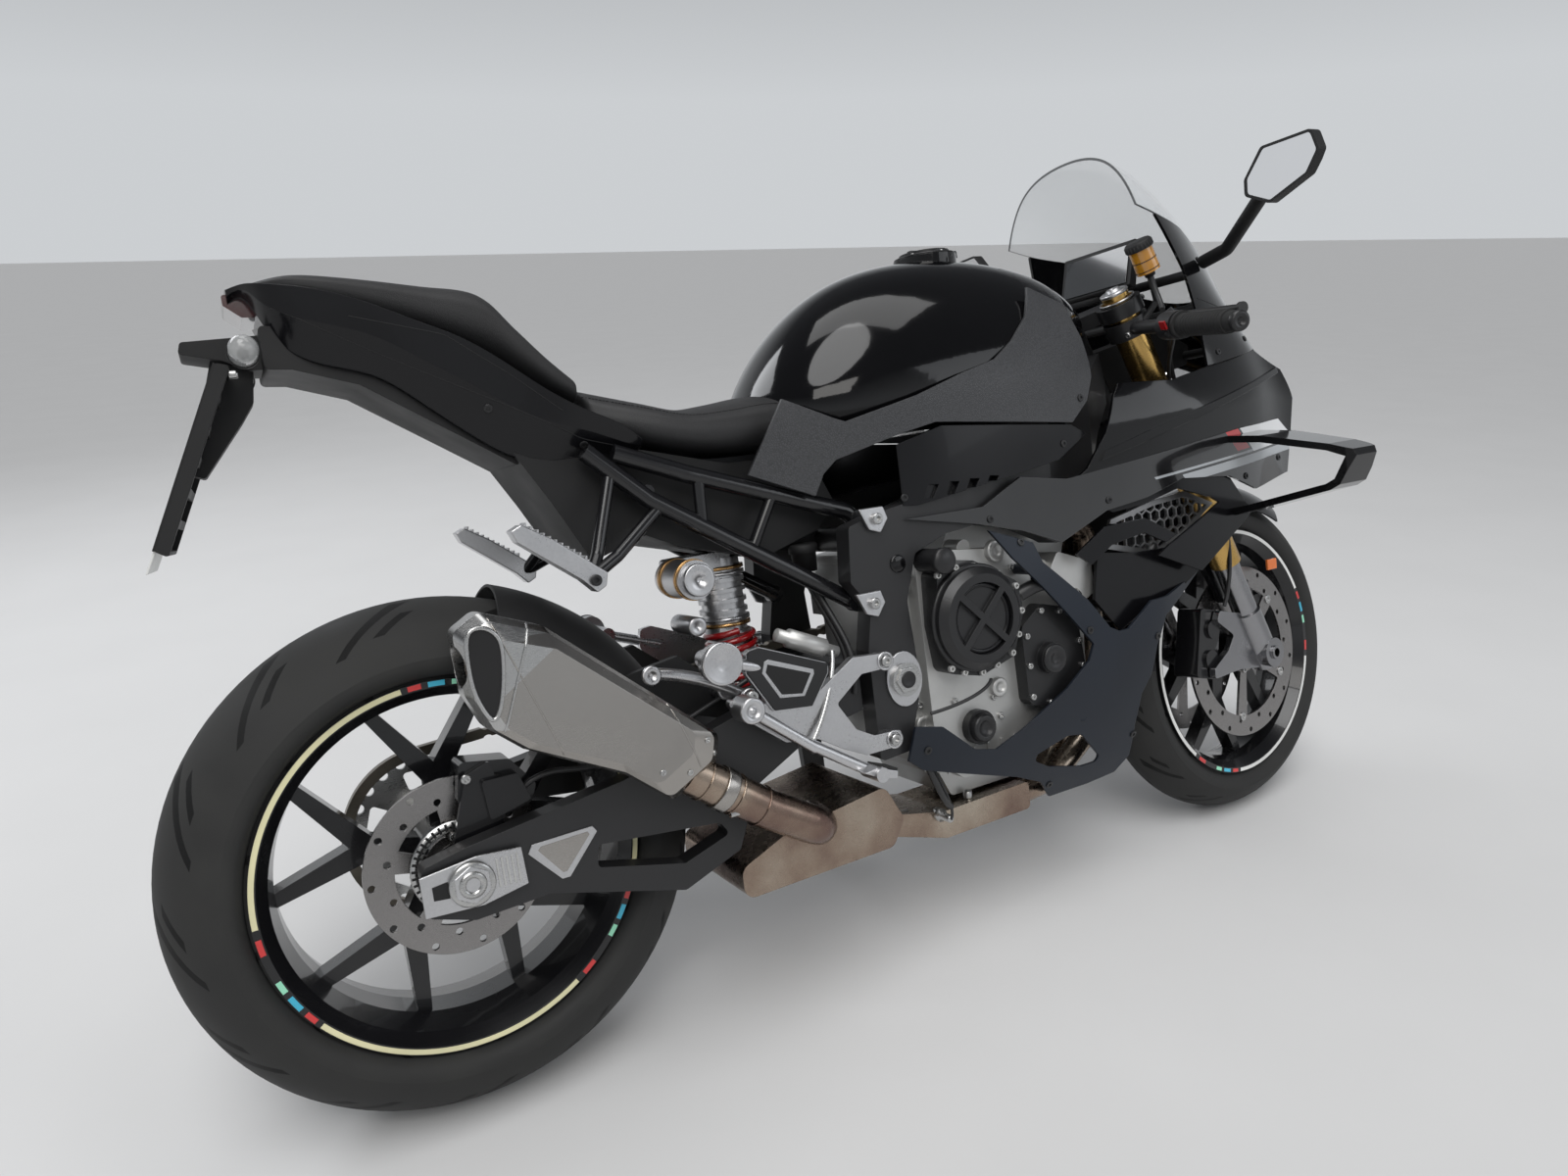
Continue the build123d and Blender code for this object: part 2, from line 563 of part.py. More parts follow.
def engine_block():
    """Gearbox, crankcase, cylinder block and head as one heavy block."""
    gearbox = slab([(676, 300), (676, 600), (720, 606), (850, 590), (920, 560), (985, 470), (980, 330),
                    (930, 286), (860, 262), (720, 262)], -ENGINE_HALF, ENGINE_HALF, 10)
    rear = slab([(652, 300), (652, 560), (680, 590), (700, 590), (700, 270), (670, 280)], -124, 124)
    sump = slab([(700, 300), (900, 300), (884, 216), (738, 216)], -88, 88, 8)
    head = slab([(740, 560), (800, 668), (850, 680), (905, 690), (1008, 640), (1012, 590), (985, 500)], -98, 98, 8)
    for x, z in ((880, 650), (780, 600)):
        head += rod((x, -FRAME_HALF + FRAME_WALL, z), (x, FRAME_HALF - FRAME_WALL, z), 13)
    ears = slab([(915, 548), (932, 572), (999, 547), (1003, 498), (960, 480)], -ENGINE_HALF - 15, ENGINE_HALF + 15, 6)
    body = gearbox + rear + sump + head + ears
    shaft = rod((FRONT_SPROCKET[0], ENGINE_HALF - 60, FRONT_SPROCKET[1]), (FRONT_SPROCKET[0], ENGINE_HALF + 8, FRONT_SPROCKET[1]), 56)
    body -= shaft
    body += rod((FRONT_SPROCKET[0], 60, FRONT_SPROCKET[1]), (FRONT_SPROCKET[0], CHAIN_Y + 12, FRONT_SPROCKET[1]), 16)
    bay = slab([(640, 370), (640, 510), (FRONT_SPROCKET[0], 498), (FRONT_SPROCKET[0], 384)], ENGINE_HALF - 60, ENGINE_HALF + 8)
    return body - bay


def front_sprocket():
    """Gearbox chain wheel."""
    wheel = sprocket(FRONT_SPROCKET[0], FRONT_SPROCKET[1], FRONT_SPROCKET_RADIUS - 7.5, 15, 3)
    return wheel - rod((FRONT_SPROCKET[0], 0, FRONT_SPROCKET[1]), (FRONT_SPROCKET[0], 200, FRONT_SPROCKET[1]), 16)


def engine_covers():
    """Clutch, timing and generator covers bolted to the crankcase."""
    ring = slab([(684, 582), (749, 588), (828, 544), (834, 498), (808, 435), (744, 418), (688, 432), (680, 500)],
                -ENGINE_HALF - 38, -ENGINE_HALF, 14)
    x, z = CLUTCH
    face = -ENGINE_HALF - 38
    dome = rod((x, face, z), (x, face - 24, z), CLUTCH_RADIUS)
    dome = chamfer(dome.edges().sort_by(Axis.Y)[0], 10)
    recess = rod((x, face - 17, z), (x, face - 32, z), CLUTCH_RADIUS - 22)
    ribs = Part()
    for angle in (45, 135):
        reach = CLUTCH_RADIUS - 20
        bar = slab([(-reach, -5), (reach, -5), (reach, 5), (-reach, 5)], face - 24, face - 16)
        ribs += Pos(x, 0, z) * bar.rotate(Axis.Y, angle)
    clutch = ring + dome - recess + ribs
    timing = slab([(840, 350), (838, 470), (880, 500), (950, 480), (960, 380), (920, 330)], -ENGINE_HALF - 24, -ENGINE_HALF, 14)
    timing += rod((886, -ENGINE_HALF - 24, 415), (886, -ENGINE_HALF - 36, 415), 24)
    filler = rod((690, -ENGINE_HALF, 596), (690, -ENGINE_HALF - 45, 596), 17)
    filter_boss = rod((752, -ENGINE_HALF, 335), (752, -ENGINE_HALF - 14, 335), 26)
    generator = slab([(800, 320), (790, 470), (850, 520), (930, 490), (950, 380), (900, 310)], ENGINE_HALF, ENGINE_HALF + 20, 16)
    generator += rod((868, ENGINE_HALF + 20, 412), (868, ENGINE_HALF + 28, 412), 56)
    return joined(clutch, timing, filler, filter_boss, generator)


def radiator():
    """Radiator core between its side tanks, with a lower oil cooler."""
    core = slab([(1092, 430), (1118, 420), (1138, 690), (1112, 700)], -138, 138)
    tank = slab([(1088, 426), (1122, 416), (1142, 694), (1108, 704)], -150, -134, 5)
    hose = rod((1100, -139, 470), (950, -139, 470), 12)
    cooler = slab([(1060, 300), (1080, 296), (1100, 420), (1078, 424)], -90, 90, 4)
    stay = slab([(1070, 400), (1094, 400), (1100, 440), (1088, 440)], -80, -60)
    return core + tank + mirror(tank, about=Plane.XZ) + hose + cooler + stay


def exhaust():
    """Four headers, collector, silencer box and the link pipe to the tail silencer."""
    body = Part()
    for y in (-105, -38, 38, 105):
        inner_y = -55 + y * 0.42
        body += tube([(1004, y, 606), (1048, y, 590), (1052, y, 420), (1020, y * 0.8 - 10, 250),
                      (930, inner_y, 196), (860, inner_y, 190)], 19, 30)
    body += slab([(866, 168), (868, 212), (700, 208), (590, 232), (590, 200), (700, 166)], -118, 8, 8)
    box = slab([(338, 196), (577, 200), (600, 236), (573, 290), (410, 268), (338, 238)], -160, 38, 16)
    body += box
    link = tube([(470, -120, 262), (450, -186, 272), (372, -190, 320), (268, -192, 397)], 26, 34)
    return body + link


def silencer():
    """Tail silencer: a faceted can that swells rearwards, with a recessed outlet."""
    full = [(313, 437), (305, 404), (241, 370), (186, 418), (72, 478), (36, 510), (19, 550), (16, 622), (47, 640), (116, 612)]
    middle = (150, 500)

    def inset(amount, front=1.0):
        points = []
        for x, z in full:
            px = middle[0] + (x - middle[0]) * (1 - amount / 150) * (front if x > middle[0] else 1)
            points.append((px, middle[1] + (z - middle[1]) * (1 - amount / 110)))
        return points

    levels = [(-228, 26, 0.92), (-220, 8, 0.98), (-206, 0, 1), (-172, 0, 1), (-158, 7, 0.98)]
    sections = [on_side(y) * area(inset(a, f), 14) for y, a, f in levels]
    body = loft(sections, ruled=True)
    rear_points = [(150, 560), (150, 470), (76, 486), (42, 514), (27, 552), (24, 616), (50, 632), (112, 604)]
    tuck = [(x * 0.94 + 5, z * 0.94 + 34) for x, z in rear_points]
    body += loft([on_side(-158) * area(rear_points, 12), on_side(-124) * area(rear_points, 12),
                  on_side(-112) * area(tuck, 12)], ruled=True)
    outlet = rod((60, -190, 570), (0, -196, 590), 24)
    return body - outlet


def rear_caliper():
    """Rear brake caliper over its disc, on a bracket to the axle."""
    body = slab([(30, 372), (95, 386), (104, 408), (76, 446), (16, 456), (8, 410)], REAR_DISC_Y - 26, REAR_DISC_Y + 18, 8)
    body -= Pos(0, 0, REAR_RADIUS) * rod((0, REAR_DISC_Y - 7, 0), (0, REAR_DISC_Y + 7, 0), REAR_DISC_RADIUS + 5)
    bracket = slab([(-16, 330), (16, 330), (60, 380), (52, 452), (20, 440)], REAR_DISC_Y - 34, REAR_DISC_Y - 26, 5)
    pad_face = slab([(40, 380), (92, 394), (80, 430), (36, 430)], -SWINGARM_HALF + SWINGARM_WALL, REAR_DISC_Y - 26, 4)
    return body + bracket + pad_face - rod((0, -200, REAR_RADIUS), (0, 0, REAR_RADIUS), 19)


def hugger():
    """Inner mudguard over the front of the rear tyre."""
    low = REAR_RADIUS - 40
    outer = ThreePointArc((-100, low), (0, REAR_RADIUS + 19), (100, low))
    inner = ThreePointArc((96, low), (0, REAR_RADIUS + 15), (-96, low))
    profile = across(0) * make_face(outer + Line((100, low), (96, low)) + inner + Line((-96, low), (-100, low)))
    guard = revolve(profile, axis=Axis((0, 0, 0), (0, 1, 0)), revolution_arc=58).rotate(Axis.Y, 18)
    guard = Pos(0, 0, REAR_RADIUS) * guard
    stay = slab([(394, 418), (430, 430), (318, 524), (238, 512), (258, 466)], -92, -80)
    inside = rod((0, -120, REAR_RADIUS), (0, 120, REAR_RADIUS), REAR_RADIUS - 26)
    side = stay - inside
    return guard + side + mirror(side, about=Plane.XZ)


def shock():
    """Rear shock with its spring, upper piggyback can and lower eye."""
    y = SHOCK_Y
    body = rod((428, y, 640), (428, y, 530), 31)
    for z in (560, 575, 590, 605):
        body += rod((428, y, z), (428, y, z + 6), 35)
    rod_piece = rod((432, y, 535), (440, y, 446), 11)
    spring = rod((431, y, 536), (438, y, 452), 27)
    coils = 8
    for i in range(coils):
        z = 530 - i * 10.5
        coil = revolve(Plane.XZ * Pos(28, 0) * RegularPolygon(COIL_RADIUS, 8), Axis.Z)
        spring += Pos(431.5 + i, y, z) * coil
    can = rod((345, y - 30, 624), (345, y - 112, 624), 26) + rod((345, y - 112, 624), (345, y - 118, 624), 22)
    head = slab([(345, 600), (420, 612), (440, 650), (345, 648)], y - 30, y + 14, 6)
    return body + rod_piece + spring + can + head


# Bodywork

def mid_half(x, z):
    """Half width of the upper side of the fairing."""
    stations = [(655, 171), (800, 176), (900, 188), (1000, 204), (1100, 213), (1200, 212), (1300, 205),
                (1400, 190), (1480, 168)]
    return flow(stations, x) - 0.35 * max(0, z - 780)


def low_half(x, z):
    """Half width of the lower fairing."""
    return 203 - 0.0009 * (z - 470) ** 2 - 0.25 * max(0, x - 1100) - 0.1 * max(0, 700 - x)


def trim_half(x, z):
    """Half width of the matt trims beside the tank."""
    stations = [(400, 124), (500, 140), (560, 150), (640, 166), (740, 182), (850, 190), (950, 192), (1010, 186)]
    return flow(stations, x) - 0.3 * max(0, z - 850)


TANK_STATIONS = [
    (508, 862, 60, 836), (535, 902, 96, 808), (572, 945, 126, 790), (640, 998, 148, 782), (740, 1036, 163, 782),
    (850, 1046, 170, 784), (950, 1036, 166, 826), (1030, 1010, 142, 884), (1075, 984, 116, 888)]


def tank():
    """Fuel tank with a filler neck on top."""
    sections = []
    for x, top, half, bottom in TANK_STATIONS:
        height = top - bottom
        outline = [(half * 0.92, bottom), (half, bottom + 0.42 * height), (half * 0.86, top - 0.36 * height),
                   (half * 0.5, top - 0.09 * height), (0, top)]
        sections.append(arch(x, outline, bottom - 1))
    body = loft(sections)
    x, z = CAP_CENTRE
    body += rod((x, 0, z - 30), (x, 0, z), FUEL_CAP_RADIUS + 6)
    hinge = x + FUEL_CAP_RADIUS + 3
    for y in (-1, 1):
        body += rod((hinge, y * 11, z + 4), (hinge, y * 20, z + 4), 3.6) + Pos(hinge, y * 15.5, z) * Box(7, 9, 8)
    return body


def fuel_cap():
    """Round filler cap, hinged at its front edge."""
    x, z = CAP_CENTRE
    cap = rod((x, 0, z + SEAT_GAP), (x, 0, z + 8), FUEL_CAP_RADIUS - 4)
    hinge = x + FUEL_CAP_RADIUS + 3
    tongue = Pos((x + hinge) / 2 + 14, 0, z + 5) * Box(hinge - x - 28, 18, 5)
    barrel = rod((hinge, -9.5, z + 4), (hinge, 9.5, z + 4), 3.6)
    grip = Pos(x - 14, 0, z + 10) * Box(30, 9, 5)
    return cap + tongue + barrel + grip


def rider_seat():
    """Rider's seat pad."""
    stations = [(246, 892, 84, 822), (325, 867, 112, 800), (380, 852, 120, 788), (440, 856, 118, 780),
                (500, 862, 112, 778), (548, 856, 98, 782), (606, 826, 62, 796)]
    sections = []
    for x, top, half, bottom in stations:
        outline = [(half * 0.9, bottom), (half, bottom + 0.45 * (top - bottom)), (half * 0.8, top - 8), (0, top)]
        sections.append(arch(x, outline, bottom - 2))
    return loft(sections)


def creased(x, half, bottom):
    """Area across the bike like an arch, with an edge at each half point."""
    right = [(y, z) for y, z in half if y > 0]
    peak = [(0, z) for y, z in half if y == 0]
    ring = [(right[0][0], bottom)] + right + peak
    return across(x) * area(ring + [(-y, z) for y, z in reversed(right)] + [(-right[0][0], bottom)])


def tail_fairing():
    """Tail cowl under the passenger pad, with a shoulder edge along each side."""
    stations = [(-136, 1030, 52, 1014), (-104, 1031, 88, 985), (-66, 1026, 106, 944), (0, 1006, 111, 921),
                (50, 984, 112, 884), (100, 962, 113, 842), (144, 932, 114, 812), (190, 893, 116, 801),
                (246, 856, 118, 799), (303, 814, 118, 797)]
    sections = []
    for x, ridge, half, bottom in stations:
        height = ridge - bottom
        outline = [(half * 0.74, bottom), (half * 0.93, bottom + 0.5 * height), (half, ridge - 0.08 * height),
                   (half * 0.64, ridge + 3), (0, ridge + 5)]
        sections.append(creased(x, outline, bottom - 1))
    return loft(sections)


def pillion_pad():
    """Raised passenger pad on the tail."""
    stations = [(-112, 1040, 46, 1020), (-70, 1046, 74, 1010), (-10, 1041, 84, 990), (70, 1030, 88, 960),
                (136, 1019, 90, 930), (172, 978, 92, 905), (205, 938, 92, 880), (240, 902, 88, 860)]
    sections = []
    for x, top, half, bottom in stations:
        outline = [(half * 0.96, bottom), (half, top - 12), (half * 0.82, top - 3), (0, top)]
        sections.append(arch(x, outline, bottom - 4))
    return loft(sections)


def undertail():
    """Tray under the seat, with the number plate bracket and its blank plate."""
    tray = slab([(139, 824), (183, 747), (215, 685), (226, 667), (300, 690), (345, 668), (470, 634), (560, 660),
                 (596, 690), (560, 768), (430, 770), (292, 806)], -86, 86, 6)
    skirt = slab([(-112, 985), (-112, 936), (-84, 934), (-16, 912), (94, 838), (150, 800), (200, 820), (60, 960)], -74, 74, 6)
    arm = slab([(-60, 985), (-92, 981), (-190, 977), (-194, 964), (-151, 954), (-127, 942), (-82, 940), (-60, 930)], -36, 36, 4)
    bracket = slab([(-162, 962), (-120, 950), (-127, 907), (-142, 886), (-190, 826), (-204, 832)], -20, 20, 4)
    top, low = Vector(-153, 0, 942), Vector(-244, 0, 748)
    carrier = slab([(-146, 940), (-160, 944), (-250, 752), (-238, 744)], -92, 92, 3)
    pitch = (low - top) / 6
    for i in range(6):
        corner = top + pitch * (i + 0.14)
        carrier -= slab([(p.X, p.Z) for p in (corner + Vector(20, 0, -9), corner - Vector(4, 0, -2),
                                              corner + pitch * 0.72 - Vector(4, 0, -2),
                                              corner + pitch * 0.72 + Vector(20, 0, -9))], -80, 80)
    plate = slab([(-160, 944), (-162, 945), (-252, 753), (-250, 752)], -90, 90)
    return tray + skirt + arm + carrier + plate + bracket


def rear_lamps():
    """Slim tail lamp and the two rear indicators."""
    lamp = slab([(-141, 1026), (-141, 1014), (-124, 1000), (-100, 1000), (-100, 1026)], -40, 40, 3)
    stem = rod((-132, -32, 950), (-132, -104, 950), 6)
    bulb = rod((-132, -104, 950), (-132, -136, 950), 15) + Pos(-132, -136, 950) * Sphere(15)
    return lamp, stem + bulb


TRIM_OUTLINE = [
    (440, 750), (530, 710), (545, 738), (565, 755), (605, 765), (665, 780), (720, 790), (965, 765), (1000, 795),
    (1015, 830), (1015, 890), (1000, 945), (935, 975), (930, 960), (915, 930), (875, 895), (835, 870), (775, 855),
    (695, 830), (585, 805), (568, 812), (500, 845)]
COVER_OUTLINE = [
    (536, 706), (563, 740), (637, 760), (730, 784), (965, 762), (995, 746), (933, 712), (899, 707), (681, 677), (628, 681)]
STRIPE_OUTLINE = [
    (655, 660), (790, 660), (860, 695), (940, 682), (1065, 695), (1315, 720), (1460, 727), (1500, 697), (1480, 632),
    (1360, 615), (1285, 645), (1165, 655), (1085, 635), (1005, 625), (920, 588), (855, 615), (785, 635)]
UPPER_OUTLINE = [
    (962, 684), (976, 692), (1015, 742), (1042, 796), (1060, 816), (1175, 812), (1295, 832), (1432, 852),
    (1500, 812), (1512, 760), (1500, 697), (1460, 727), (1315, 720), (1065, 695)]
BLADE_OUTLINE = [
    (1005, 630), (1085, 640), (1165, 662), (1285, 652), (1330, 600), (1355, 580), (1200, 500), (1105, 540), (1130, 553),
    (1260, 605), (1240, 615), (1160, 640), (1085, 625), (1020, 620)]
LOWER_BLADE_OUTLINE = [
    (950, 565), (1005, 600), (1085, 602), (1150, 567), (1125, 558), (1080, 580), (1015, 570), (975, 545)]
LOWER_OUTLINE = [
    (790, 625), (865, 596), (875, 565), (950, 495), (990, 445), (1010, 435), (1030, 435), (1085, 470), (1125, 470),
    (1240, 495), (1120, 440), (1095, 395), (1085, 350), (1065, 320), (1060, 270), (1065, 210), (1040, 185),
    (980, 180), (900, 180), (870, 215), (815, 240), (635, 300), (610, 320), (620, 370), (665, 360), (725, 310),
    (765, 300), (815, 320), (900, 365), (945, 400), (955, 425), (925, 460), (865, 530), (820, 580)]
LOWER_WINDOW = [(835, 265), (910, 285), (940, 280), (1000, 220), (955, 220), (880, 240)]
MESH_OUTLINE = [(1040, 560), (1060, 604), (1155, 622), (1235, 628), (1300, 600), (1225, 556), (1155, 530)]
SIDE_FILL_OUTLINE = [(1000, 560), (1076, 548), (1150, 545), (1234, 502), (1145, 458), (1111, 464), (1033, 429), (985, 487)]


def prism(outline):
    """Everything inside a side outline, as a cutter."""
    return slab(outline, -500, 0)


def post(x, z, half_width, inner_y, radius=8):
    """Mounting post from a carrier's face out to just inside a panel."""
    return rod((x, inner_y, z), (x, 1 - half_width(x, z), z), radius)


def tank_trims(tank_body, seat_body):
    """Matt side trims that wrap the tank down to the frame."""
    lug = post(760, 816, trim_half, -140, 10)
    return both(panel(TRIM_OUTLINE, trim_half) + lug - tank_body - seat_body)


def frame_covers(trim):
    """Gloss covers on the frame spars under the tank trims."""
    def half(x, z):
        return trim_half(x, z) - 4

    body = pad(COVER_OUTLINE, half, -FRAME_HALF, 0) & slab(COVER_OUTLINE, -260, -FRAME_HALF)
    vent = Part()
    for i in range(4):
        x = 690 + i * 34
        vent += slab([(x, 686), (x + 14, 684), (x + 26, 702), (x + 10, 704)], -260, -FRAME_HALF - 4)
    return both(body - vent - trim)


def stripe_panels():
    """Middle side panels that carry the stripes."""
    body = panel(STRIPE_OUTLINE, mid_half)
    return both(body + post(1100, 660, mid_half, -150) + post(1250, 680, mid_half, -150, 6))


def upper_panels():
    """Upper side panels with a raised crease line."""
    body = panel(UPPER_OUTLINE, mid_half) - prism(STRIPE_OUTLINE)
    ridge = panel([(1000, 702), (1480, 806), (1484, 816), (1100, 738), (1010, 716)],
                  lambda x, z: mid_half(x, z) + 4, 6)
    return both(body + ridge - prism(STRIPE_OUTLINE))


def lower_fairings():
    """Lower side fairings with the large opening behind the front wheel."""
    body = panel(LOWER_OUTLINE, low_half) - slab(LOWER_WINDOW, -400, 0, 8)
    body += post(940, 310, low_half, -ENGINE_HALF) + post(860, 556, low_half, -ENGINE_HALF)
    return both(body)


def gill_blades():
    """Black blades over the side openings of the fairing."""
    upper = panel(BLADE_OUTLINE, lambda x, z: mid_half(x, z) - 6) - prism(STRIPE_OUTLINE)
    lower = panel(LOWER_BLADE_OUTLINE, lambda x, z: mid_half(x, z) - 8)
    lower += post(1056, 590, lambda x, z: mid_half(x, z) - 8, -156 - SEAT_GAP)
    fill = panel(SIDE_FILL_OUTLINE, lambda x, z: 181, 6)
    return upper, lower, fill


def side_mesh():
    """Honeycomb mesh in the side openings."""
    sheet = slab(MESH_OUTLINE, -156, -150)
    pitch = 20
    open_area = slab([(1052, 566), (1068, 597), (1160, 614), (1230, 619), (1284, 599), (1220, 563), (1156, 540)], -160, -140)
    cutters = []
    for row in range(6):
        for column in range(14):
            x = 1050 + column * pitch + (pitch / 2 if row % 2 else 0)
            z = 545 + row * pitch * 0.866
            cell = on_side(-140) * (Pos(x, z) * RegularPolygon(pitch * 0.5, 6, rotation=30))
            cutters.append(extrude(cell, 30))
    holes = Compound(children=cutters) & open_area
    return both(sheet - holes)


BUBBLE_STATIONS = [
    (1170, 812, 196, 890, 184, 1085, 161, 1208), (1240, 812, 198, 890, 190, 1062, 156, 1184),
    (1310, 790, 196, 880, 186, 1022, 146, 1140), (1390, 745, 184, 860, 174, 974, 122, 1070),
    (1460, 715, 150, 830, 148, 922, 92, 994), (1520, 722, 96, 800, 100, 868, 60, 928),
    (1552, 758, 34, 800, 42, 846, 24, 876)]


def bubble(inset):
    """Closed shape of the nose and screen, drawn in by the inset."""
    sections = []
    for x, z_low, half_low, z_mid, half_mid, z_high, half_high, top in BUBBLE_STATIONS:
        outline = [(half_low - inset, z_low - inset * 2), (half_mid - inset, z_mid),
                   (half_high - inset, z_high - inset * 0.4), (half_high * 0.62 - inset * 0.6, top - 0.2 * (top - z_high) - inset * 0.8), (0, top - inset)]
        sections.append(arch(x - (inset * 0.5 if x > 1500 else 0), outline, z_low - 2 - inset * 2))
    return loft(sections)


SCREEN_LINE = [(1182, 1098), (1245, 1080), (1306, 1066), (1400, 1002), (1500, 955)]
NOSE_LOWER = [(1560, 955), (1560, 700), (1512, 715), (1512, 760), (1500, 812), (1432, 852), (1295, 832), (1268, 829),
              (1266, 900), (1258, 990), (1226, 1084)]
LAMP_FRONT = [(-42, 796), (-118, 836), (-138, 872), (-120, 880), (-44, 826)]
INTAKE_FRONT = [(-34, 770), (34, 770), (46, 806), (24, 826), (-24, 826), (-46, 806)]


def front_prism(outline):
    """Cutter from a front outline of (y, z) points, over the front of the nose only."""
    return extrude(across(1395) * area(outline), 200)


def nose_and_screen():
    """Nose fairing, headlamps and windscreen, cut from one curved shell."""
    outer = bubble(0)
    lamp_zone = front_prism(LAMP_FRONT) + mirror(front_prism(LAMP_FRONT), about=Plane.XZ)
    nose_shell = outer - bubble(PANEL_WALL)
    nose_outline = slab(SCREEN_LINE[2:] + NOSE_LOWER[0:] + SCREEN_LINE[1:2], -400, 400)
    nose = nose_shell & nose_outline
    lamps = nose & lamp_zone
    nose = nose - lamp_zone - front_prism(INTAKE_FRONT)
    screen_outline = slab(SCREEN_LINE + [(1500, 1000), (1320, 1160), (1200, 1230), (1182, 1230)], -400, 400)
    screen = (outer - bubble(SCREEN_WALL)) & screen_outline
    return nose, lamps, screen


def cockpit():
    """Fairing stay from the steering head, with the instrument display."""
    stay = slab([(1190, 880), (1222, 808), (1300, 822), (1420, 846), (1428, 880), (1330, 925), (1282, 1000), (1266, 1040),
                 (1250, 1036), (1264, 990), (1286, 900)], -26, 26, 6)
    arms = rod((1310, -220, 930), (1310, 220, 930), 8) + rod((1296, -220, 985), (1296, 220, 985), 8)
    lamp_arms = rod((1418, -160, 862), (1418, 160, 862), 8)
    display = slab([(1230, 984), (1244, 980), (1262, 1058), (1250, 1062)], -82, 82, 4)
    near_head = slab([(1150, 780), (1300, 780), (1300, 1000), (1150, 1000)], -40, 40)
    body = (stay + arms + lamp_arms + display) & (bubble(PANEL_WALL) + near_head)
    return body - head_rod(520, 690, 33) - head_rod(YOKE_LOW - STEER_CLEARANCE, YOKE_LOW + 100, 60)


def winglets():
    """Looped winglets on the sides of the nose."""
    outer = [(-150, 716), (-262, 706), (-374, 683), (-410, 672), (-414, 662), (-388, 620), (-372, 612), (-205, 578), (-150, 578)]
    hole = [(-150, 704), (-262, 695), (-370, 673), (-399, 662), (-380, 629), (-366, 622), (-203, 589), (-150, 589)]
    loop = extrude(across(1270) * area(outer), 130) - extrude(across(1260) * area(hole), 150)
    plan = [(1285, -140), (1395, -140), (1388, -205), (1362, -400), (1350, -420), (1306, -420), (1300, -400), (1288, -205)]
    body = loop & extrude(Plane.XY.offset(500) * area(plan), 300)
    core = extrude(skin(mid_half, [(1260, 560), (1420, 740)]), 200, dir=(0, 1, 0))
    return both(body - core)


def mirrors():
    """Mirror housings on their stalks."""
    face = [(-300, 1068), (-301, 1092), (-333, 1131), (-415, 1130), (-OVERALL_HALF, 1100), (-404, 1071), (-340, 1047)]
    middle = (-366, 1092)
    small = [(middle[0] + (y - middle[0]) * 0.55, middle[1] + (z - middle[1]) * 0.5) for y, z in face]
    shell = loft([across(1250) * area(face, 9), across(1268) * area(face, 9), across(1298) * area(small, 5)], ruled=True)
    recess = [(middle[0] + (y - middle[0]) * 0.93, middle[1] + (z - middle[1]) * 0.9) for y, z in face]
    pocket = extrude(across(1249) * area(recess, 7), 5)
    stalk = tube([(1332, -150, 1004), (1322, -206, 1012), (1276, -318, 1074)], 11, 30)
    body = shell + stalk - pocket - bubble(0)
    glass = extrude(across(1251) * area(recess, 7), 3)
    return both(body), both(glass)


def foot_controls():
    """Footrest hangers, heel guards, footrests and pedals."""
    hanger = slab([(334, 475), (375, 460), (450, 442), (529, 489), (592, 484), (592, 464), (540, 464), (496, 432), (521, 391),
                   (548, 376), (592, 374), (592, 352), (532, 352), (503, 366), (461, 392), (413, 399), (347, 452)], -190, -178, 5)
    guard = slab([(370, 530), (389, 532), (487, 491), (485, 478), (455, 438), (398, 444), (365, 501)], -196, -186, 8)
    for x, z in ((580, 474), (580, 363)):
        hanger += rod((x, -180, z), (x, -FRAME_HALF, z), 9.5)
    peg = rod((400, -188, 500), (316, -203, 530), 8) + rod((316, -184, 530), (306, -262, 534), 12)
    peg += rod((308, -246, 533), (306, -260, 534), 25)
    pivot = rod((358, -186, 458), (358, -216, 458), 17)
    pedal = rod((358, -206, 458), (446, -206, 386), 8) + rod((440, -205, 392), (520, -214, 338), 8)
    pedal += rod((520, -204, 338), (520, -246, 338), 10)
    return both(hanger + guard + peg + pivot + pedal)


def subframe():
    """Tubular rear subframe with the passenger footrest brackets."""
    y = -(FRAME_HALF - FRAME_WALL - 14)
    upper = tube([(604, y, 668), (590, y, 682), (357, y + 2, 762), (262, y + 6, 800)], 12, 30)
    lower = tube([(584, y, 553), (560, y, 568), (440, y, 645), (300, y + 2, 736), (225, y + 6, 806)], 12, 30)
    struts = rod((371, y, 752), (369, y, 698), 8) + rod((476, y, 718), (436, y, 650), 8)
    lugs = rod((604, y, 668), (604, y - 14, 668), 14) + rod((584, y, 553), (584, y - 14, 553), 14)
    bracket = tube([(252, y + 4, 770), (214, y - 20, 676), (196, y - 40, 652)], 8, 20)
    bracket += tube([(310, y + 2, 722), (240, y - 20, 672), (196, y - 40, 652)], 8, 20)
    peg = slab([(196, 636), (182, 652), (112, 708), (106, 722), (118, 727), (150, 706), (212, 657), (208, 642)], y - 56, y - 32)
    side = upper + lower + struts + lugs + bracket + peg
    ties = rod((300, y, 746), (300, -y, 746), 9)
    return side + mirror(side, about=Plane.XZ) + ties


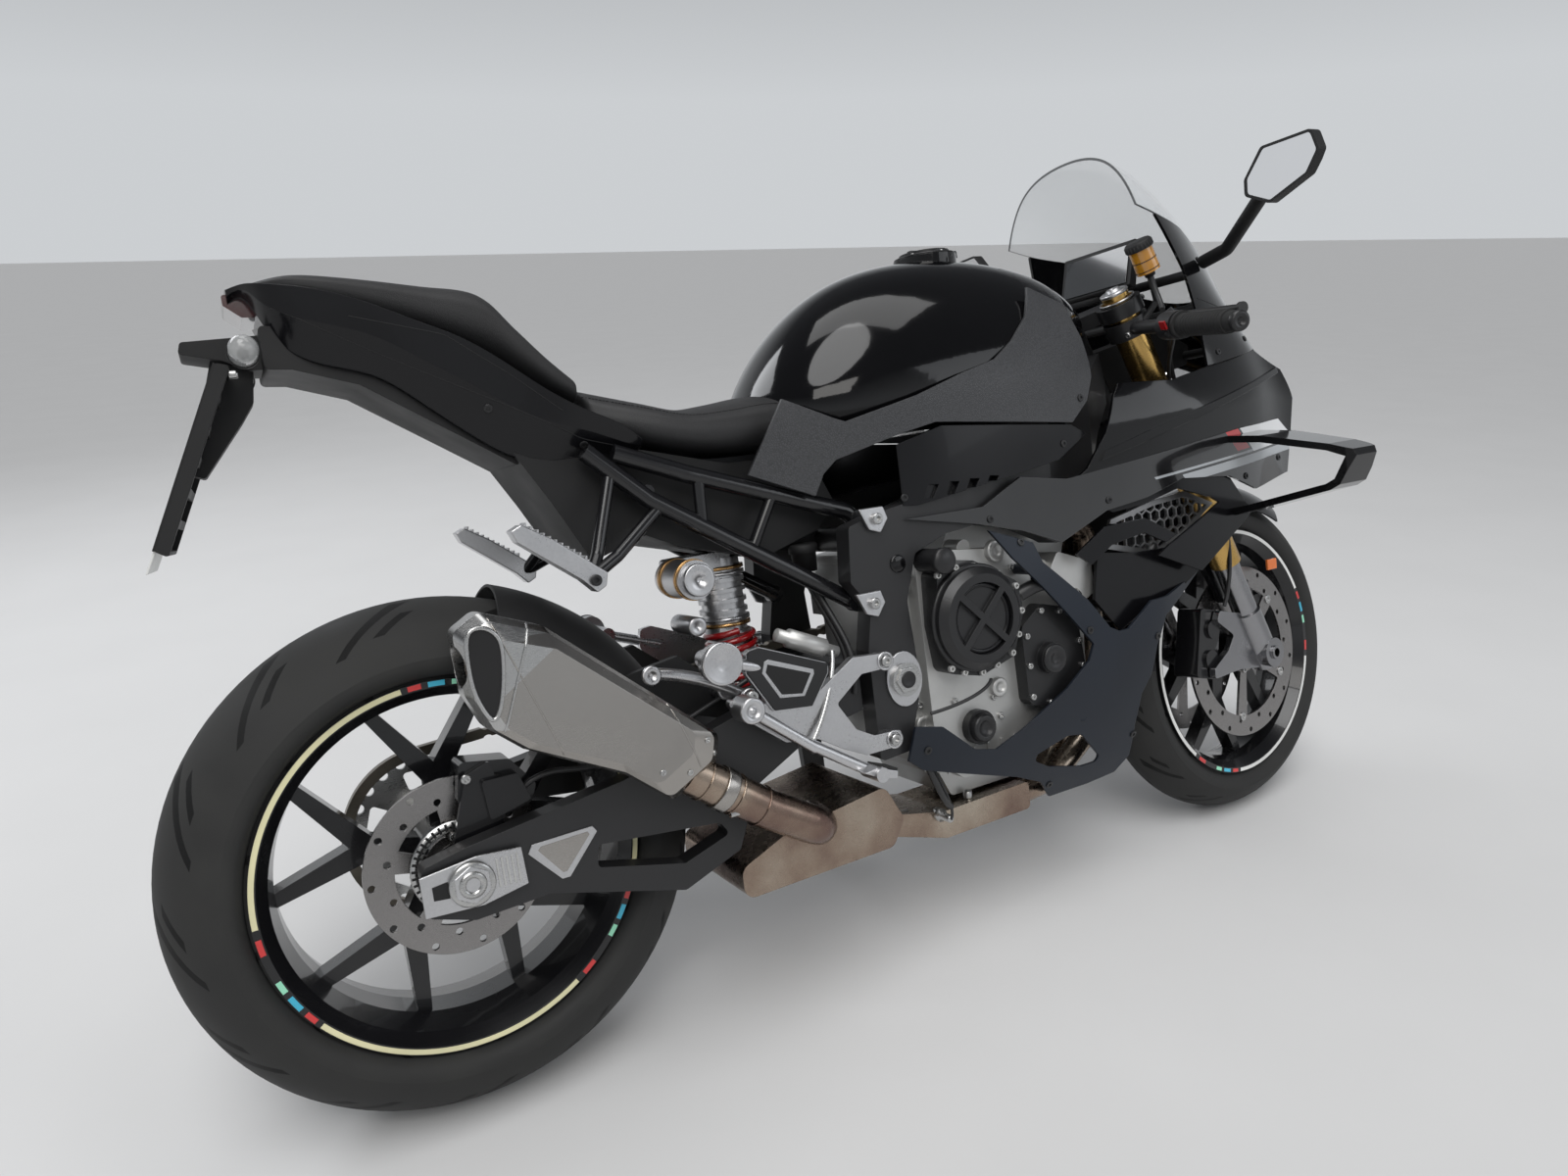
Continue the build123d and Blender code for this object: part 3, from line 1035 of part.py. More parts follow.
def side_stand():
    """Side stand leg with its hinge eye and foot."""
    axis = stand_axis()
    down = (STAND_FOOT - STAND_PIVOT).normalized()
    eye = rod(STAND_PIVOT - axis * 7, STAND_PIVOT + axis * 7, 18)
    ankle = STAND_FOOT + Vector(0, 0, 8)
    leg = rod(STAND_PIVOT + down * 25, ankle, 11) + rod(STAND_PIVOT + down * 12, STAND_PIVOT + down * 30, 6.5)
    tang = rod(STAND_PIVOT + down * 120, STAND_PIVOT + down * 120 + Vector(40, 18, 4), 5)
    lean = math.radians(LEAN)
    up = Vector(0, -math.sin(lean), math.cos(lean))
    ground = STAND_GROUND
    sole = Vector(STAND_FOOT.X, STAND_FOOT.Y, ground)
    foot = extrude(Plane(origin=sole, x_dir=(1, 0, 0), z_dir=up) * RectangleRounded(58, 40, 14), 9)
    body = eye + leg + tang + foot
    return body - rod(STAND_PIVOT - axis * 30, STAND_PIVOT + axis * 30, 8)


LIFT = REAR_CROWN * (1 - math.cos(math.radians(LEAN)))
STAND_GROUND = STAND_FOOT.Y * math.tan(math.radians(LEAN)) - LIFT / math.cos(math.radians(LEAN))


# Assembly

def steered(shape):
    """Turn a piece of the front assembly to the parked steering angle."""
    return Compound([solid.rotate(Axis(STEER_POINT, FORK_DIR), STEER_REST) for solid in shape.solids()])


def parked(shape):
    """Lean a piece onto the stand, before the origin moves under the middle of the bike."""
    return [Pos(0, 0, LIFT) * solid.rotate(Axis.X, -LEAN) for solid in shape.solids()]


def front_wheel():
    """Tyre, rim and discs of the front wheel."""
    ring = disc(FRONT_DISC_RADIUS, 122, FRONT_DISC_Y, 28, 5, 14)
    parts = {
        "front_tyre": tyre(FRONT_RADIUS, FRONT_WIDTH, FRONT_CROWN, FRONT_RIM_HALF),
        "front_rim": rim(FRONT_RIM_HALF, FRONT_HUB_HALF, 13),
        "front_discs": both(mirror(ring, about=Plane.XZ))}
    return {name: at_fork(shape) for name, shape in parts.items()}


def rear_wheel():
    """Tyre, rim, disc and chain wheel of the rear wheel."""
    parts = {
        "rear_tyre": tyre(REAR_RADIUS, REAR_WIDTH, REAR_CROWN, REAR_RIM_HALF),
        "rear_rim": rim(REAR_RIM_HALF, REAR_HUB_HALF, 17),
        "rear_disc": disc(REAR_DISC_RADIUS, 74, REAR_DISC_Y, 28, 5, 11)}
    return {name: Pos(0, 0, REAR_RADIUS) * shape for name, shape in parts.items()}


def build():
    """Every named piece, in its parked place."""
    tank_body, seat_body, tail_body = tank(), rider_seat(), tail_fairing()
    frame_body = frame()
    seat_body = seat_body - tank_body - tail_body
    trims = tank_trims(tank_body, seat_body)
    nose, lamps, screen = nose_and_screen()
    mirror_shells, mirror_glass = mirrors()
    lamp, indicator = rear_lamps()
    shock_body = shock() - frame_body
    under = undertail() - tail_body - seat_body - frame_body - shock_body
    engine = engine_block()
    pad_body = pillion_pad() - tail_body - seat_body
    upper_blade, lower_blade, fill = gill_blades()
    lower, stripes = lower_fairings(), stripe_panels()
    legs, bars = fork_legs(), handlebars()
    silencer_body = silencer()
    swingarm_body = swingarm()
    root = {
        "frame": frame_body,
        "subframe": subframe() - tail_body - under - frame_body,
        "swingarm": swingarm_body,
        "axles": axles(),
        "engine_block": engine,
        "engine_covers": engine_covers(),
        "radiator": radiator() - engine,
        "exhaust": exhaust() - silencer_body - engine,
        "silencer": silencer_body,
        "rear_caliper": rear_caliper(),
        "hugger": hugger() - swingarm_body,
        "shock": shock_body - swingarm_body,
        "chain": chain(),
        "front_sprocket": front_sprocket(),
        "tank": tank_body,
        "tank_trims": trims,
        "frame_covers": frame_covers(trims),
        "rider_seat": seat_body,
        "tail_fairing": tail_body,
        "pillion_pad": pad_body,
        "undertail": under,
        "rear_lamps": joined(lamp - tail_body - under, both(indicator - under)),
        "upper_panels": upper_panels(),
        "stripe_panels": stripes,
        "lower_fairings": lower,
        "gill_blades": both(upper_blade, lower_blade, fill - lower),
        "side_mesh": side_mesh(),
        "nose_fairing": nose,
        "headlamps": lamps,
        "windscreen": screen,
        "cockpit": cockpit(),
        "winglets": winglets() - stripes,
        "mirrors": mirror_shells,
        "mirror_glass": mirror_glass,
        "foot_controls": foot_controls()}
    steering = {
        "yokes": yokes(),
        "fork_tubes": fork_tubes(),
        "fork_legs": legs,
        "front_calipers": front_calipers() - legs,
        "front_mudguard": front_mudguard(),
        "handlebars": bars,
        "grips": grips(),
        "hand_controls": hand_controls(),
        "reservoir": reservoir() - bars}
    steering.update(front_wheel())
    nodes = {name: parked(shape) for name, shape in root.items()}
    nodes.update({name: parked(steered(shape)) for name, shape in steering.items()})
    nodes.update({name: parked(shape) for name, shape in rear_wheel().items()})
    nodes["rear_sprocket"] = parked(rear_sprocket())
    nodes["side_stand"] = parked(side_stand())
    nodes["fuel_cap"] = parked(fuel_cap())
    return nodes


if __name__ == "__main__":
    os.makedirs("parts", exist_ok=True)
    pieces = build()
    box = Compound([solid for solids in pieces.values() for solid in solids]).bounding_box()
    home = Pos(-box.center().X, -box.center().Y, 0)
    for name, solids in pieces.items():
        placed = [home * solid for solid in solids]
        export_step(placed[0] if len(placed) == 1 else Compound(placed), f"parts/{name}.step")
    print("origin moved by", -box.center().X, -box.center().Y)
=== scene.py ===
"""Looks of the parked sport motorcycle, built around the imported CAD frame."""
import json
import math
import bpy
import bmesh
from mathutils import Matrix, Vector
from mathutils.bvhtree import BVHTree


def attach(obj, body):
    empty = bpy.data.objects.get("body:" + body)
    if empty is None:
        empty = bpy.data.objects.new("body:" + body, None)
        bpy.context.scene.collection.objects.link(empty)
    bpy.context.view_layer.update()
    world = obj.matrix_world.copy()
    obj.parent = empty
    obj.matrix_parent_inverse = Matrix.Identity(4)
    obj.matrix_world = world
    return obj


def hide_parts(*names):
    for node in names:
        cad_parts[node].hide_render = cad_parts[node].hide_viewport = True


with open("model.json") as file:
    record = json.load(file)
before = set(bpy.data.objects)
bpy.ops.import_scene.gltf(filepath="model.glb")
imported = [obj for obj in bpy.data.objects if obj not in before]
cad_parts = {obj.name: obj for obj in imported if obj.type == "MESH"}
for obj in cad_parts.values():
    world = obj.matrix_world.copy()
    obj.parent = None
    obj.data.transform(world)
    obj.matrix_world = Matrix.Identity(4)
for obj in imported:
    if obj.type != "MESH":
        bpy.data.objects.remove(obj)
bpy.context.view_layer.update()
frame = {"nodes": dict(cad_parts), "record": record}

# The bike's own axes, read from its joints

joints = {j["name"]: j for j in frame["record"]["behaviour"]["joints"]}
REAR = Vector(joints["rear_wheel_spin"]["pos_m"])
LEFT = Vector(joints["rear_wheel_spin"]["axis"]).normalized()
FORWARD = Vector((1, 0, 0))
UP = FORWARD.cross(LEFT)
RIGHT = -LEFT
FRONT = Vector(joints["front_wheel_spin"]["pos_m"])
AXLE = Vector(joints["front_wheel_spin"]["axis"]).normalized()
HEAD = Vector(joints["steering_head"]["axis"]).normalized()
AHEAD = AXLE.cross(HEAD)
SIDES = (("right", -1), ("left", 1))

# Driving sizes of the part, in millimetres and degrees

REAR_RADIUS = 326
LEAN = 13.5
LIFT = 2.9
HOME_FORWARD = 715
HOME_LEFT = 210.4
FRONT_RIM_HALF = 54
REAR_RIM_HALF = 84
TAPE_INNER = 223.5
TAPE_OUTER = 230
TAPE_THICKNESS = 0.35
FRONT_DISC_FACE = 67.6
FORK_HALF = 105
POT_FOOT = (20, -167, 742)
PIVOT = (623, 437)
HANGER_BOLTS = ((580, 474), (580, 363))
FUEL_CAP_X = 868
SCREW_RING = 45
CAN_CORNER = (104, 634)
CAN_FOOT = (52, 506)


def bike(x, y, z):
    """Point of the upright bike drawing: forward, left and up from under the rear axle."""
    return REAR + FORWARD * (x / 1000) + LEFT * (y / 1000) + UP * ((z - REAR_RADIUS) / 1000)


def fork(u, v, w):
    """Point of the steered assembly: ahead of, left of and up the fork from the front axle."""
    return FRONT + AHEAD * (u / 1000) + AXLE * (v / 1000) + HEAD * (w / 1000)


def rear_wheel(u, v, w):
    """Point of the rear wheel, from its centre."""
    return REAR + FORWARD * (u / 1000) + LEFT * (v / 1000) + UP * (w / 1000)


# Node helpers

def new_material(name):
    """Empty node material with its tree, shader and linking function."""
    mat = bpy.data.materials.new(name)
    mat.use_nodes = True
    tree = mat.node_tree
    return mat, tree, tree.nodes["Principled BSDF"], tree.links.new


def add(tree, kind, **values):
    """Node of a kind, with its named inputs set."""
    node = tree.nodes.new(kind)
    for key, value in values.items():
        if key in node.inputs:
            node.inputs[key].default_value = value
        else:
            setattr(node, key, value)
    return node


def coordinates(tree, stretch=(1, 1, 1)):
    """Object coordinates, stretched along each axis."""
    source = add(tree, "ShaderNodeTexCoord")
    mapping = add(tree, "ShaderNodeMapping", Scale=stretch)
    tree.links.new(source.outputs["Object"], mapping.inputs["Vector"])
    return mapping.outputs["Vector"]


def split_vector(tree, vector):
    """The three parts of a vector socket."""
    parts = add(tree, "ShaderNodeSeparateXYZ")
    tree.links.new(vector, parts.inputs[0])
    return parts.outputs


def noise(tree, vector, scale, detail=3.0):
    """Noise value at a scale."""
    node = add(tree, "ShaderNodeTexNoise", Scale=scale, Detail=detail)
    tree.links.new(vector, node.inputs["Vector"])
    return node.outputs["Fac"]


def spread(tree, value, low, high, from_low=0.3, from_high=0.7):
    """Value moved into a range."""
    node = add(tree, "ShaderNodeMapRange")
    for key, limit in (("From Min", from_low), ("From Max", from_high), ("To Min", low), ("To Max", high)):
        node.inputs[key].default_value = limit
    tree.links.new(value, node.inputs["Value"])
    return node.outputs["Result"]


def blend_colours(tree, factor, first, second):
    """Mix of two colours by a factor. Either colour may be a socket."""
    node = add(tree, "ShaderNodeMix", data_type="RGBA")
    tree.links.new(factor, node.inputs[0])
    for socket, value in ((node.inputs[6], first), (node.inputs[7], second)):
        if isinstance(value, tuple):
            socket.default_value = (*value, 1)
        else:
            tree.links.new(value, socket)
    return node.outputs[2]


def colour_ramp(tree, factor, stops):
    """Colour that follows a factor through (position, colour) stops."""
    node = add(tree, "ShaderNodeValToRGB")
    elements = node.color_ramp.elements
    for stop, (position, colour) in zip((elements[0], elements[-1]), (stops[0], stops[-1])):
        stop.position = position
        stop.color = (*colour, 1)
    for position, colour in stops[1:-1]:
        elements.new(position).color = (*colour, 1)
    tree.links.new(factor, node.inputs["Fac"])
    return node.outputs["Color"]


def calculator(tree):
    """Function that adds a sum on one or two values or sockets to a tree."""
    def do(operation, first, second=None):
        node = add(tree, "ShaderNodeMath", operation=operation)
        for socket, value in zip(node.inputs, (first, second)):
            if isinstance(value, (int, float)):
                socket.default_value = value
            elif value is not None:
                tree.links.new(value, socket)
        return node.outputs[0]
    return do


def bump(tree, shader, height, strength, distance, edge=0.0):
    """Bump from a height, over a softened edge normal. Distance and edge are in metres."""
    node = add(tree, "ShaderNodeBump", Strength=strength, Distance=distance)
    tree.links.new(height, node.inputs["Height"])
    if edge:
        soft = add(tree, "ShaderNodeBevel", samples=4)
        soft.inputs["Radius"].default_value = edge
        tree.links.new(soft.outputs["Normal"], node.inputs["Normal"])
    tree.links.new(node.outputs["Normal"], shader.inputs["Normal"])


def tones(colour, shift):
    """A darker and a lighter colour on either side of one."""
    return tuple(c * (1 - shift) for c in colour), tuple(min(1, c * (1 + shift)) for c in colour)


# Materials

def plain(name, colour, rough=0.4, metal=0.0, coat=0.0, grain=300, depth=0.00008, shift=0.12,
          edge=0.0012, spec=0.5):
    """Surface with a fine grain, slow changes of tone and gloss, and softened edges."""
    mat, tree, shader, link = new_material(name)
    fine = noise(tree, coordinates(tree), grain, 2)
    slow = noise(tree, coordinates(tree), 9, 4)
    tone = blend_colours(tree, spread(tree, slow, 0, 1), *tones(colour, shift))
    link(tone, shader.inputs["Base Color"])
    link(spread(tree, slow, rough * 0.85, min(1, rough * 1.15)), shader.inputs["Roughness"])
    shader.inputs["Metallic"].default_value = metal
    shader.inputs["Coat Weight"].default_value = coat
    shader.inputs["Coat Roughness"].default_value = 0.04
    shader.inputs["Specular IOR Level"].default_value = spec
    bump(tree, shader, fine, 0.35, depth, edge)
    return mat


def brushed(name, colour, rough=0.3, stretch=(12, 160, 12), shift=0.07, edge=0.0008):
    """Metal with fine brush lines."""
    mat, tree, shader, link = new_material(name)
    lines = noise(tree, coordinates(tree, stretch), 14, 8)
    slow = noise(tree, coordinates(tree), 14, 3)
    tone = blend_colours(tree, spread(tree, lines, 0, 1), *tones(colour, shift))
    link(tone, shader.inputs["Base Color"])
    gloss = spread(tree, slow, rough * 0.8, rough * 1.2)
    link(calculator(tree)("MULTIPLY", gloss, spread(tree, lines, 0.85, 1.15)), shader.inputs["Roughness"])
    shader.inputs["Metallic"].default_value = 1
    bump(tree, shader, lines, 0.08, 0.00003, edge)
    return mat


def glass(name, colour, rough, alpha):
    """Thin clear plastic: mostly see-through, with a coat that reflects."""
    mat, tree, shader, link = new_material(name)
    slow = noise(tree, coordinates(tree), 30, 2)
    link(blend_colours(tree, slow, tuple(c * 0.92 for c in colour), colour), shader.inputs["Base Color"])
    link(spread(tree, slow, rough, rough * 2.5), shader.inputs["Roughness"])
    shader.inputs["Alpha"].default_value = alpha
    shader.inputs["Coat Weight"].default_value = 1
    shader.inputs["Coat Roughness"].default_value = 0.02
    mat.use_transparency_overlap = True
    return mat


def cellular(name, colour, rough, scale, depth, shift=0.25):
    """Moulded grain of small raised cells, as on textured plastic or seat cover, with painted shade darkening
    the grooves between the cells.
    """
    mat, tree, shader, link = new_material(name)
    vector = coordinates(tree)
    cells = add(tree, "ShaderNodeTexVoronoi", feature="DISTANCE_TO_EDGE", Scale=scale)
    link(vector, cells.inputs["Vector"])
    height = spread(tree, cells.outputs["Distance"], 0, 1, 0.0, 0.25)
    slow = noise(tree, vector, 10, 4)
    # Darker colour at the cell edges is painted shade in the grooves between the cells
    link(blend_colours(tree, height, *tones(colour, shift)), shader.inputs["Base Color"])
    link(spread(tree, slow, rough * 0.85, rough * 1.15), shader.inputs["Roughness"])
    bump(tree, shader, height, 0.5, depth, 0.0015)
    return mat


def heat_tinted():
    """Header steel that turns from straw to bronze and brown."""
    mat, tree, shader, link = new_material("heat_tinted")
    slow = noise(tree, coordinates(tree), 7, 5)
    lines = noise(tree, coordinates(tree), 90, 4)
    stops = [(0.32, (0.16, 0.1, 0.085)), (0.5, (0.3, 0.23, 0.18)), (0.68, (0.44, 0.38, 0.31))]
    link(colour_ramp(tree, slow, stops), shader.inputs["Base Color"])
    link(spread(tree, lines, 0.2, 0.34), shader.inputs["Roughness"])
    shader.inputs["Metallic"].default_value = 1
    bump(tree, shader, lines, 0.06, 0.00004, 0.001)
    return mat


def wheel_frame(tree, centre, axle, up):
    """Texture coordinates of a wheel: X along its axle, Z up, in metres from its centre."""
    source = add(tree, "ShaderNodeTexCoord")
    ahead = axle.cross(up).normalized()
    turn = Matrix((axle, ahead, axle.cross(ahead))).transposed()
    mapping = add(tree, "ShaderNodeMapping", vector_type="TEXTURE")
    mapping.inputs["Location"].default_value = centre
    mapping.inputs["Rotation"].default_value = turn.to_euler()
    tree.links.new(source.outputs["Object"], mapping.inputs["Vector"])
    return mapping.outputs["Vector"]


def tread(name, centre, axle, up, half_width, count, slant):
    """Tyre rubber with slanted grooves over the crown, the grooves coloured near black as painted shade. The
    half width is in metres.
    """
    mat, tree, shader, link = new_material(name)
    do = calculator(tree)
    vector = wheel_frame(tree, centre, axle, up)
    across, ahead, high = split_vector(tree, vector)
    share = do("DIVIDE", do("ABSOLUTE", across), half_width)
    turns = do("MULTIPLY", do("ARCTAN2", high, ahead), count / (2 * math.pi))
    turns = do("ADD", turns, do("MULTIPLY", do("POWER", share, 1.6), slant))

    def wave(phase):
        return do("ABSOLUTE", do("SUBTRACT", do("FRACT", phase), 0.5))

    def between(low, high):
        return do("MULTIPLY", do("GREATER_THAN", share, low), do("LESS_THAN", share, high))

    width = do("ADD", do("MULTIPLY", do("SUBTRACT", 1.0, share), 0.05), 0.035)
    staggered = do("ADD", turns, do("MULTIPLY", do("SIGN", across), 0.25))
    long_cut = do("MULTIPLY", do("LESS_THAN", wave(staggered), width), between(0.16, 0.82))
    short_cut = do("MULTIPLY", do("LESS_THAN", wave(do("ADD", turns, 0.5)), 0.05), between(0.48, 0.74))
    cut = do("MAXIMUM", long_cut, short_cut)
    slow = noise(tree, vector, 12, 3)
    rubber = blend_colours(tree, spread(tree, slow, 0, 1), (0.02, 0.02, 0.02), (0.03, 0.03, 0.029))
    # The near-black groove colour is painted shade in the grooves
    link(blend_colours(tree, cut, rubber, (0.0015, 0.0015, 0.0015)), shader.inputs["Base Color"])
    shader.inputs["Specular IOR Level"].default_value = 0.28
    link(spread(tree, slow, 0.6, 0.78), shader.inputs["Roughness"])
    height = do("SUBTRACT", do("MULTIPLY", noise(tree, vector, 700, 3), 0.04), cut)
    bump(tree, shader, height, 0.9, 0.004)
    return mat


def striped():
    """Side panel paint: white and red slanted bands on gloss black, thin silver lines that are a painted
    highlight along the panel, and no letters.
    """
    mat, tree, shader, link = new_material("striped_paint")
    do = calculator(tree)
    world_x, world_y, world_z = split_vector(tree, add(tree, "ShaderNodeTexCoord").outputs["Object"])
    along = do("ADD", do("MULTIPLY", world_x, 1000), HOME_FORWARD)
    side = do("MULTIPLY", do("ADD", world_y, HOME_LEFT / 1000), 1000)
    height = do("SUBTRACT", do("MULTIPLY", world_z, 1000), LIFT)
    lean = math.radians(LEAN)
    level = do("ADD", do("MULTIPLY", height, math.cos(lean)), do("MULTIPLY", side, math.sin(lean)))
    rise = do("ADD", level, do("MULTIPLY", do("SUBTRACT", along, 1000), -0.075))
    slant = do("ADD", along, do("MULTIPLY", level, 0.9))

    def band(value, low, high):
        return do("MULTIPLY", do("GREATER_THAN", value, low), do("LESS_THAN", value, high))

    # The thin silver lines are a painted highlight along the panel, not paint
    highlight_silver = (0.36, 0.38, 0.4)
    bands = [((652, 712), (1972, 2150), (0.72, 0.73, 0.74)), ((634, 648), (1760, 2150), highlight_silver),
             ((660, 700), (1928, 1966), (0.5, 0.012, 0.015)), ((652, 656), (1700, 1972), highlight_silver)]
    slow = noise(tree, coordinates(tree), 8, 3)
    paint = blend_colours(tree, slow, (0.004, 0.004, 0.0045), (0.009, 0.009, 0.01))
    for rises, slants, colour in bands:
        inside = do("MULTIPLY", band(rise, *rises), band(slant, *slants))
        paint = blend_colours(tree, inside, paint, colour)
    link(paint, shader.inputs["Base Color"])
    link(spread(tree, slow, 0.1, 0.18), shader.inputs["Roughness"])
    shader.inputs["Coat Weight"].default_value = 1
    bump(tree, shader, noise(tree, coordinates(tree), 200, 2), 0.1, 0.00002, 0.0015)
    return mat


black_powder = plain("black_powder", (0.011, 0.011, 0.012), 0.48, 0.0, 0.1, 700, 0.00012)
black_cast = plain("black_cast", (0.012, 0.012, 0.013), 0.4, 0.2, 0.1, 420, 0.00022)
gloss_metal = plain("gloss_black_metal", (0.006, 0.006, 0.007), 0.25, 0.0, 0.5, 260, 0.00003, spec=0.3)
gloss_black = plain("gloss_black", (0.003, 0.003, 0.0035), 0.1, 0.0, 0.4, 180, 0.00001, edge=0.002, spec=0.2)
satin_black = plain("satin_black", (0.005, 0.005, 0.006), 0.2, 0.0, 0.1, 500, 0.00003, edge=0.0015, spec=0.25)
matt_black = plain("matt_black", (0.01, 0.01, 0.0105), 0.6, 0.0, 0.0, 900, 0.00012, spec=0.35)
belly_paint = plain("belly_paint", (0.013, 0.017, 0.025), 0.4, 0.15, 0.0, 1200, 0.00003, edge=0.002, spec=0.3)
cast_silver = plain("cast_silver", (0.5, 0.5, 0.49), 0.4, 0.65, 0.0, 350, 0.00025, edge=0.0015)
machined = brushed("machined_alloy", (0.55, 0.55, 0.56), 0.32, (24, 24, 24), 0.04)
slider_steel = brushed("slider_steel", (0.3, 0.3, 0.31), 0.22, (80, 80, 6))
steel = brushed("bright_steel", (0.46, 0.46, 0.455), 0.28)
disc_steel = brushed("disc_steel", (0.27, 0.26, 0.255), 0.28, (90, 9, 90), 0.04)
can_steel = brushed("can_steel", (0.38, 0.362, 0.34), 0.23, (12, 60, 420), 0.03, 0.0004)
chain_steel = brushed("chain_steel", (0.2, 0.18, 0.15), 0.42)
gold = brushed("gold_anodised", (0.56, 0.36, 0.12), 0.26, (30, 30, 120))
bronze = brushed("bronze_ring", (0.55, 0.33, 0.14), 0.3)
seat_cover = cellular("seat_cover", (0.014, 0.014, 0.015), 0.6, 480, 0.00025)
trim_grain = cellular("trim_grain", (0.035, 0.036, 0.039), 0.42, 330, 0.0003, 0.3)
grip_rubber = plain("grip_rubber", (0.012, 0.012, 0.012), 0.8, 0, 0, 900, 0.0003)
hose_rubber = plain("hose_rubber", (0.014, 0.014, 0.015), 0.5, 0, 0.1, 900, 0.0001)
red_plastic = plain("red_plastic", (0.3, 0.006, 0.008), 0.28, 0, 0.6, 300, 0.00002)
orange_lens = plain("orange_lens", (0.75, 0.16, 0.01), 0.2, 0, 0.8, 600, 0.0002)
plate_white = plain("plate_white", (0.72, 0.72, 0.7), 0.45, 0, 0.2, 500, 0.00003)
screen_clear = glass("screen_clear", (0.85, 0.88, 0.9), 0.02, 0.16)
lamp_clear = glass("lamp_clear", (0.7, 0.74, 0.78), 0.03, 0.3)
red_lens = glass("red_lens", (0.045, 0.001, 0.0015), 0.08, 0.96)
clear_lens = glass("clear_lens", (0.55, 0.56, 0.56), 0.06, 0.5)
screen_edge = glass("screen_edge", (0.02, 0.022, 0.024), 0.1, 0.9)
amber = glass("amber_pot", (0.5, 0.22, 0.015), 0.1, 0.9)
display_glass = plain("display_glass", (0.008, 0.01, 0.013), 0.08, 0, 1.0, 100, 0.000005, edge=0)
mirror_silver = plain("mirror_silver", (0.9, 0.9, 0.91), 0.02, 1, 0, 50, 0.000001, 0.01, edge=0)
mesh_silver = plain("mesh_silver", (0.36, 0.36, 0.365), 0.35, 0.85, 0, 500, 0.00008)
core_fins = plain("core_fins", (0.02, 0.02, 0.021), 0.55, 0.4, 0, 400, 0.0002)
TAPE_COLOURS = {"cyan": (0.04, 0.42, 0.6), "mint": (0.3, 0.72, 0.5), "red": (0.6, 0.03, 0.03),
                "cream": (0.72, 0.68, 0.42), "white": (0.75, 0.75, 0.73)}
tapes = {key: plain(f"{key}_tape", colour, 0.35, 0, 0.4, 300, 0.00002)
         for key, colour in TAPE_COLOURS.items()}
tinted = heat_tinted()
front_tread = tread("front_tread", FRONT, AXLE, HEAD, 0.06, 14, 0.8)
rear_tread = tread("rear_tread", REAR, LEFT, UP, 0.099, 13, 0.9)

NODE_LOOKS = [
    (black_powder, "frame swingarm handlebars hand_controls side_stand"),
    (gloss_metal, "subframe rear_caliper front_calipers front_rim rear_rim"),
    (black_cast, "engine_covers yokes fuel_cap"),
    (matt_black, "hugger undertail cockpit mirrors"),
    (gloss_black, "tank upper_panels nose_fairing winglets"),
    (satin_black, "frame_covers tail_fairing gill_blades front_mudguard"),
    (seat_cover, "rider_seat pillion_pad"),
    (steel, "axles front_sprocket rear_sprocket"),
    (machined, "shock foot_controls"),
    (disc_steel, "front_discs rear_disc"),
    (cast_silver, "engine_block"), (core_fins, "radiator"), (tinted, "exhaust"), (can_steel, "silencer"),
    (chain_steel, "chain"), (trim_grain, "tank_trims"), (red_lens, "rear_lamps"),
    (striped(), "stripe_panels"), (belly_paint, "lower_fairings"), (mesh_silver, "side_mesh"),
    (lamp_clear, "headlamps"), (screen_clear, "windscreen"), (mirror_silver, "mirror_glass"),
    (gold, "fork_tubes"), (slider_steel, "fork_legs"), (grip_rubber, "grips"), (amber, "reservoir"),
    (front_tread, "front_tyre"), (rear_tread, "rear_tyre")]
for look, names in NODE_LOOKS:
    for name in names.split():
        mesh = frame["nodes"][name].data
        mesh.materials.clear()
        mesh.materials.append(look)


# Shapes in mesh code

def riding(obj, mat, body):
    """Finish a new object: into the scene, with its material, on its body."""
    bpy.context.collection.objects.link(obj)
    obj.data.materials.append(mat)
    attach(obj, body)
    return obj


def piece(name, verts, faces, mat, body="chassis", smooth=True):
    """Mesh piece that rides on a body."""
    mesh = bpy.data.meshes.new(name)
    mesh.from_pydata([tuple(v) for v in verts], [], faces)
    mesh.update()
    for polygon in mesh.polygons:
        polygon.use_smooth = smooth
    return riding(bpy.data.objects.new(name, mesh), mat, body)


def face_outwards(obj):
    """Turn all the faces of a closed piece outwards."""
    work = bmesh.new()
    work.from_mesh(obj.data)
    bmesh.ops.recalc_face_normals(work, faces=work.faces)
    work.to_mesh(obj.data)
    work.free()


def hose(name, points, radius, mat=hose_rubber, body="chassis", resolution=4, closed=False):
    """Bent tube along a smooth line near points, or a closed bead through them."""
    curve = bpy.data.curves.new(name, "CURVE")
    curve.dimensions = "3D"
    spline = curve.splines.new("POLY" if closed else "NURBS")
    spline.points.add(len(points) - 1)
    for target, point in zip(spline.points, points):
        target.co = (*point, 1)
    if closed:
        spline.use_cyclic_u = True
    else:
        spline.order_u = min(4, len(points))
        spline.use_endpoint_u = True
        spline.resolution_u = 10
        curve.use_fill_caps = True
    curve.bevel_depth = radius / 1000
    curve.bevel_resolution = resolution
    return riding(bpy.data.objects.new(name, curve), mat, body)


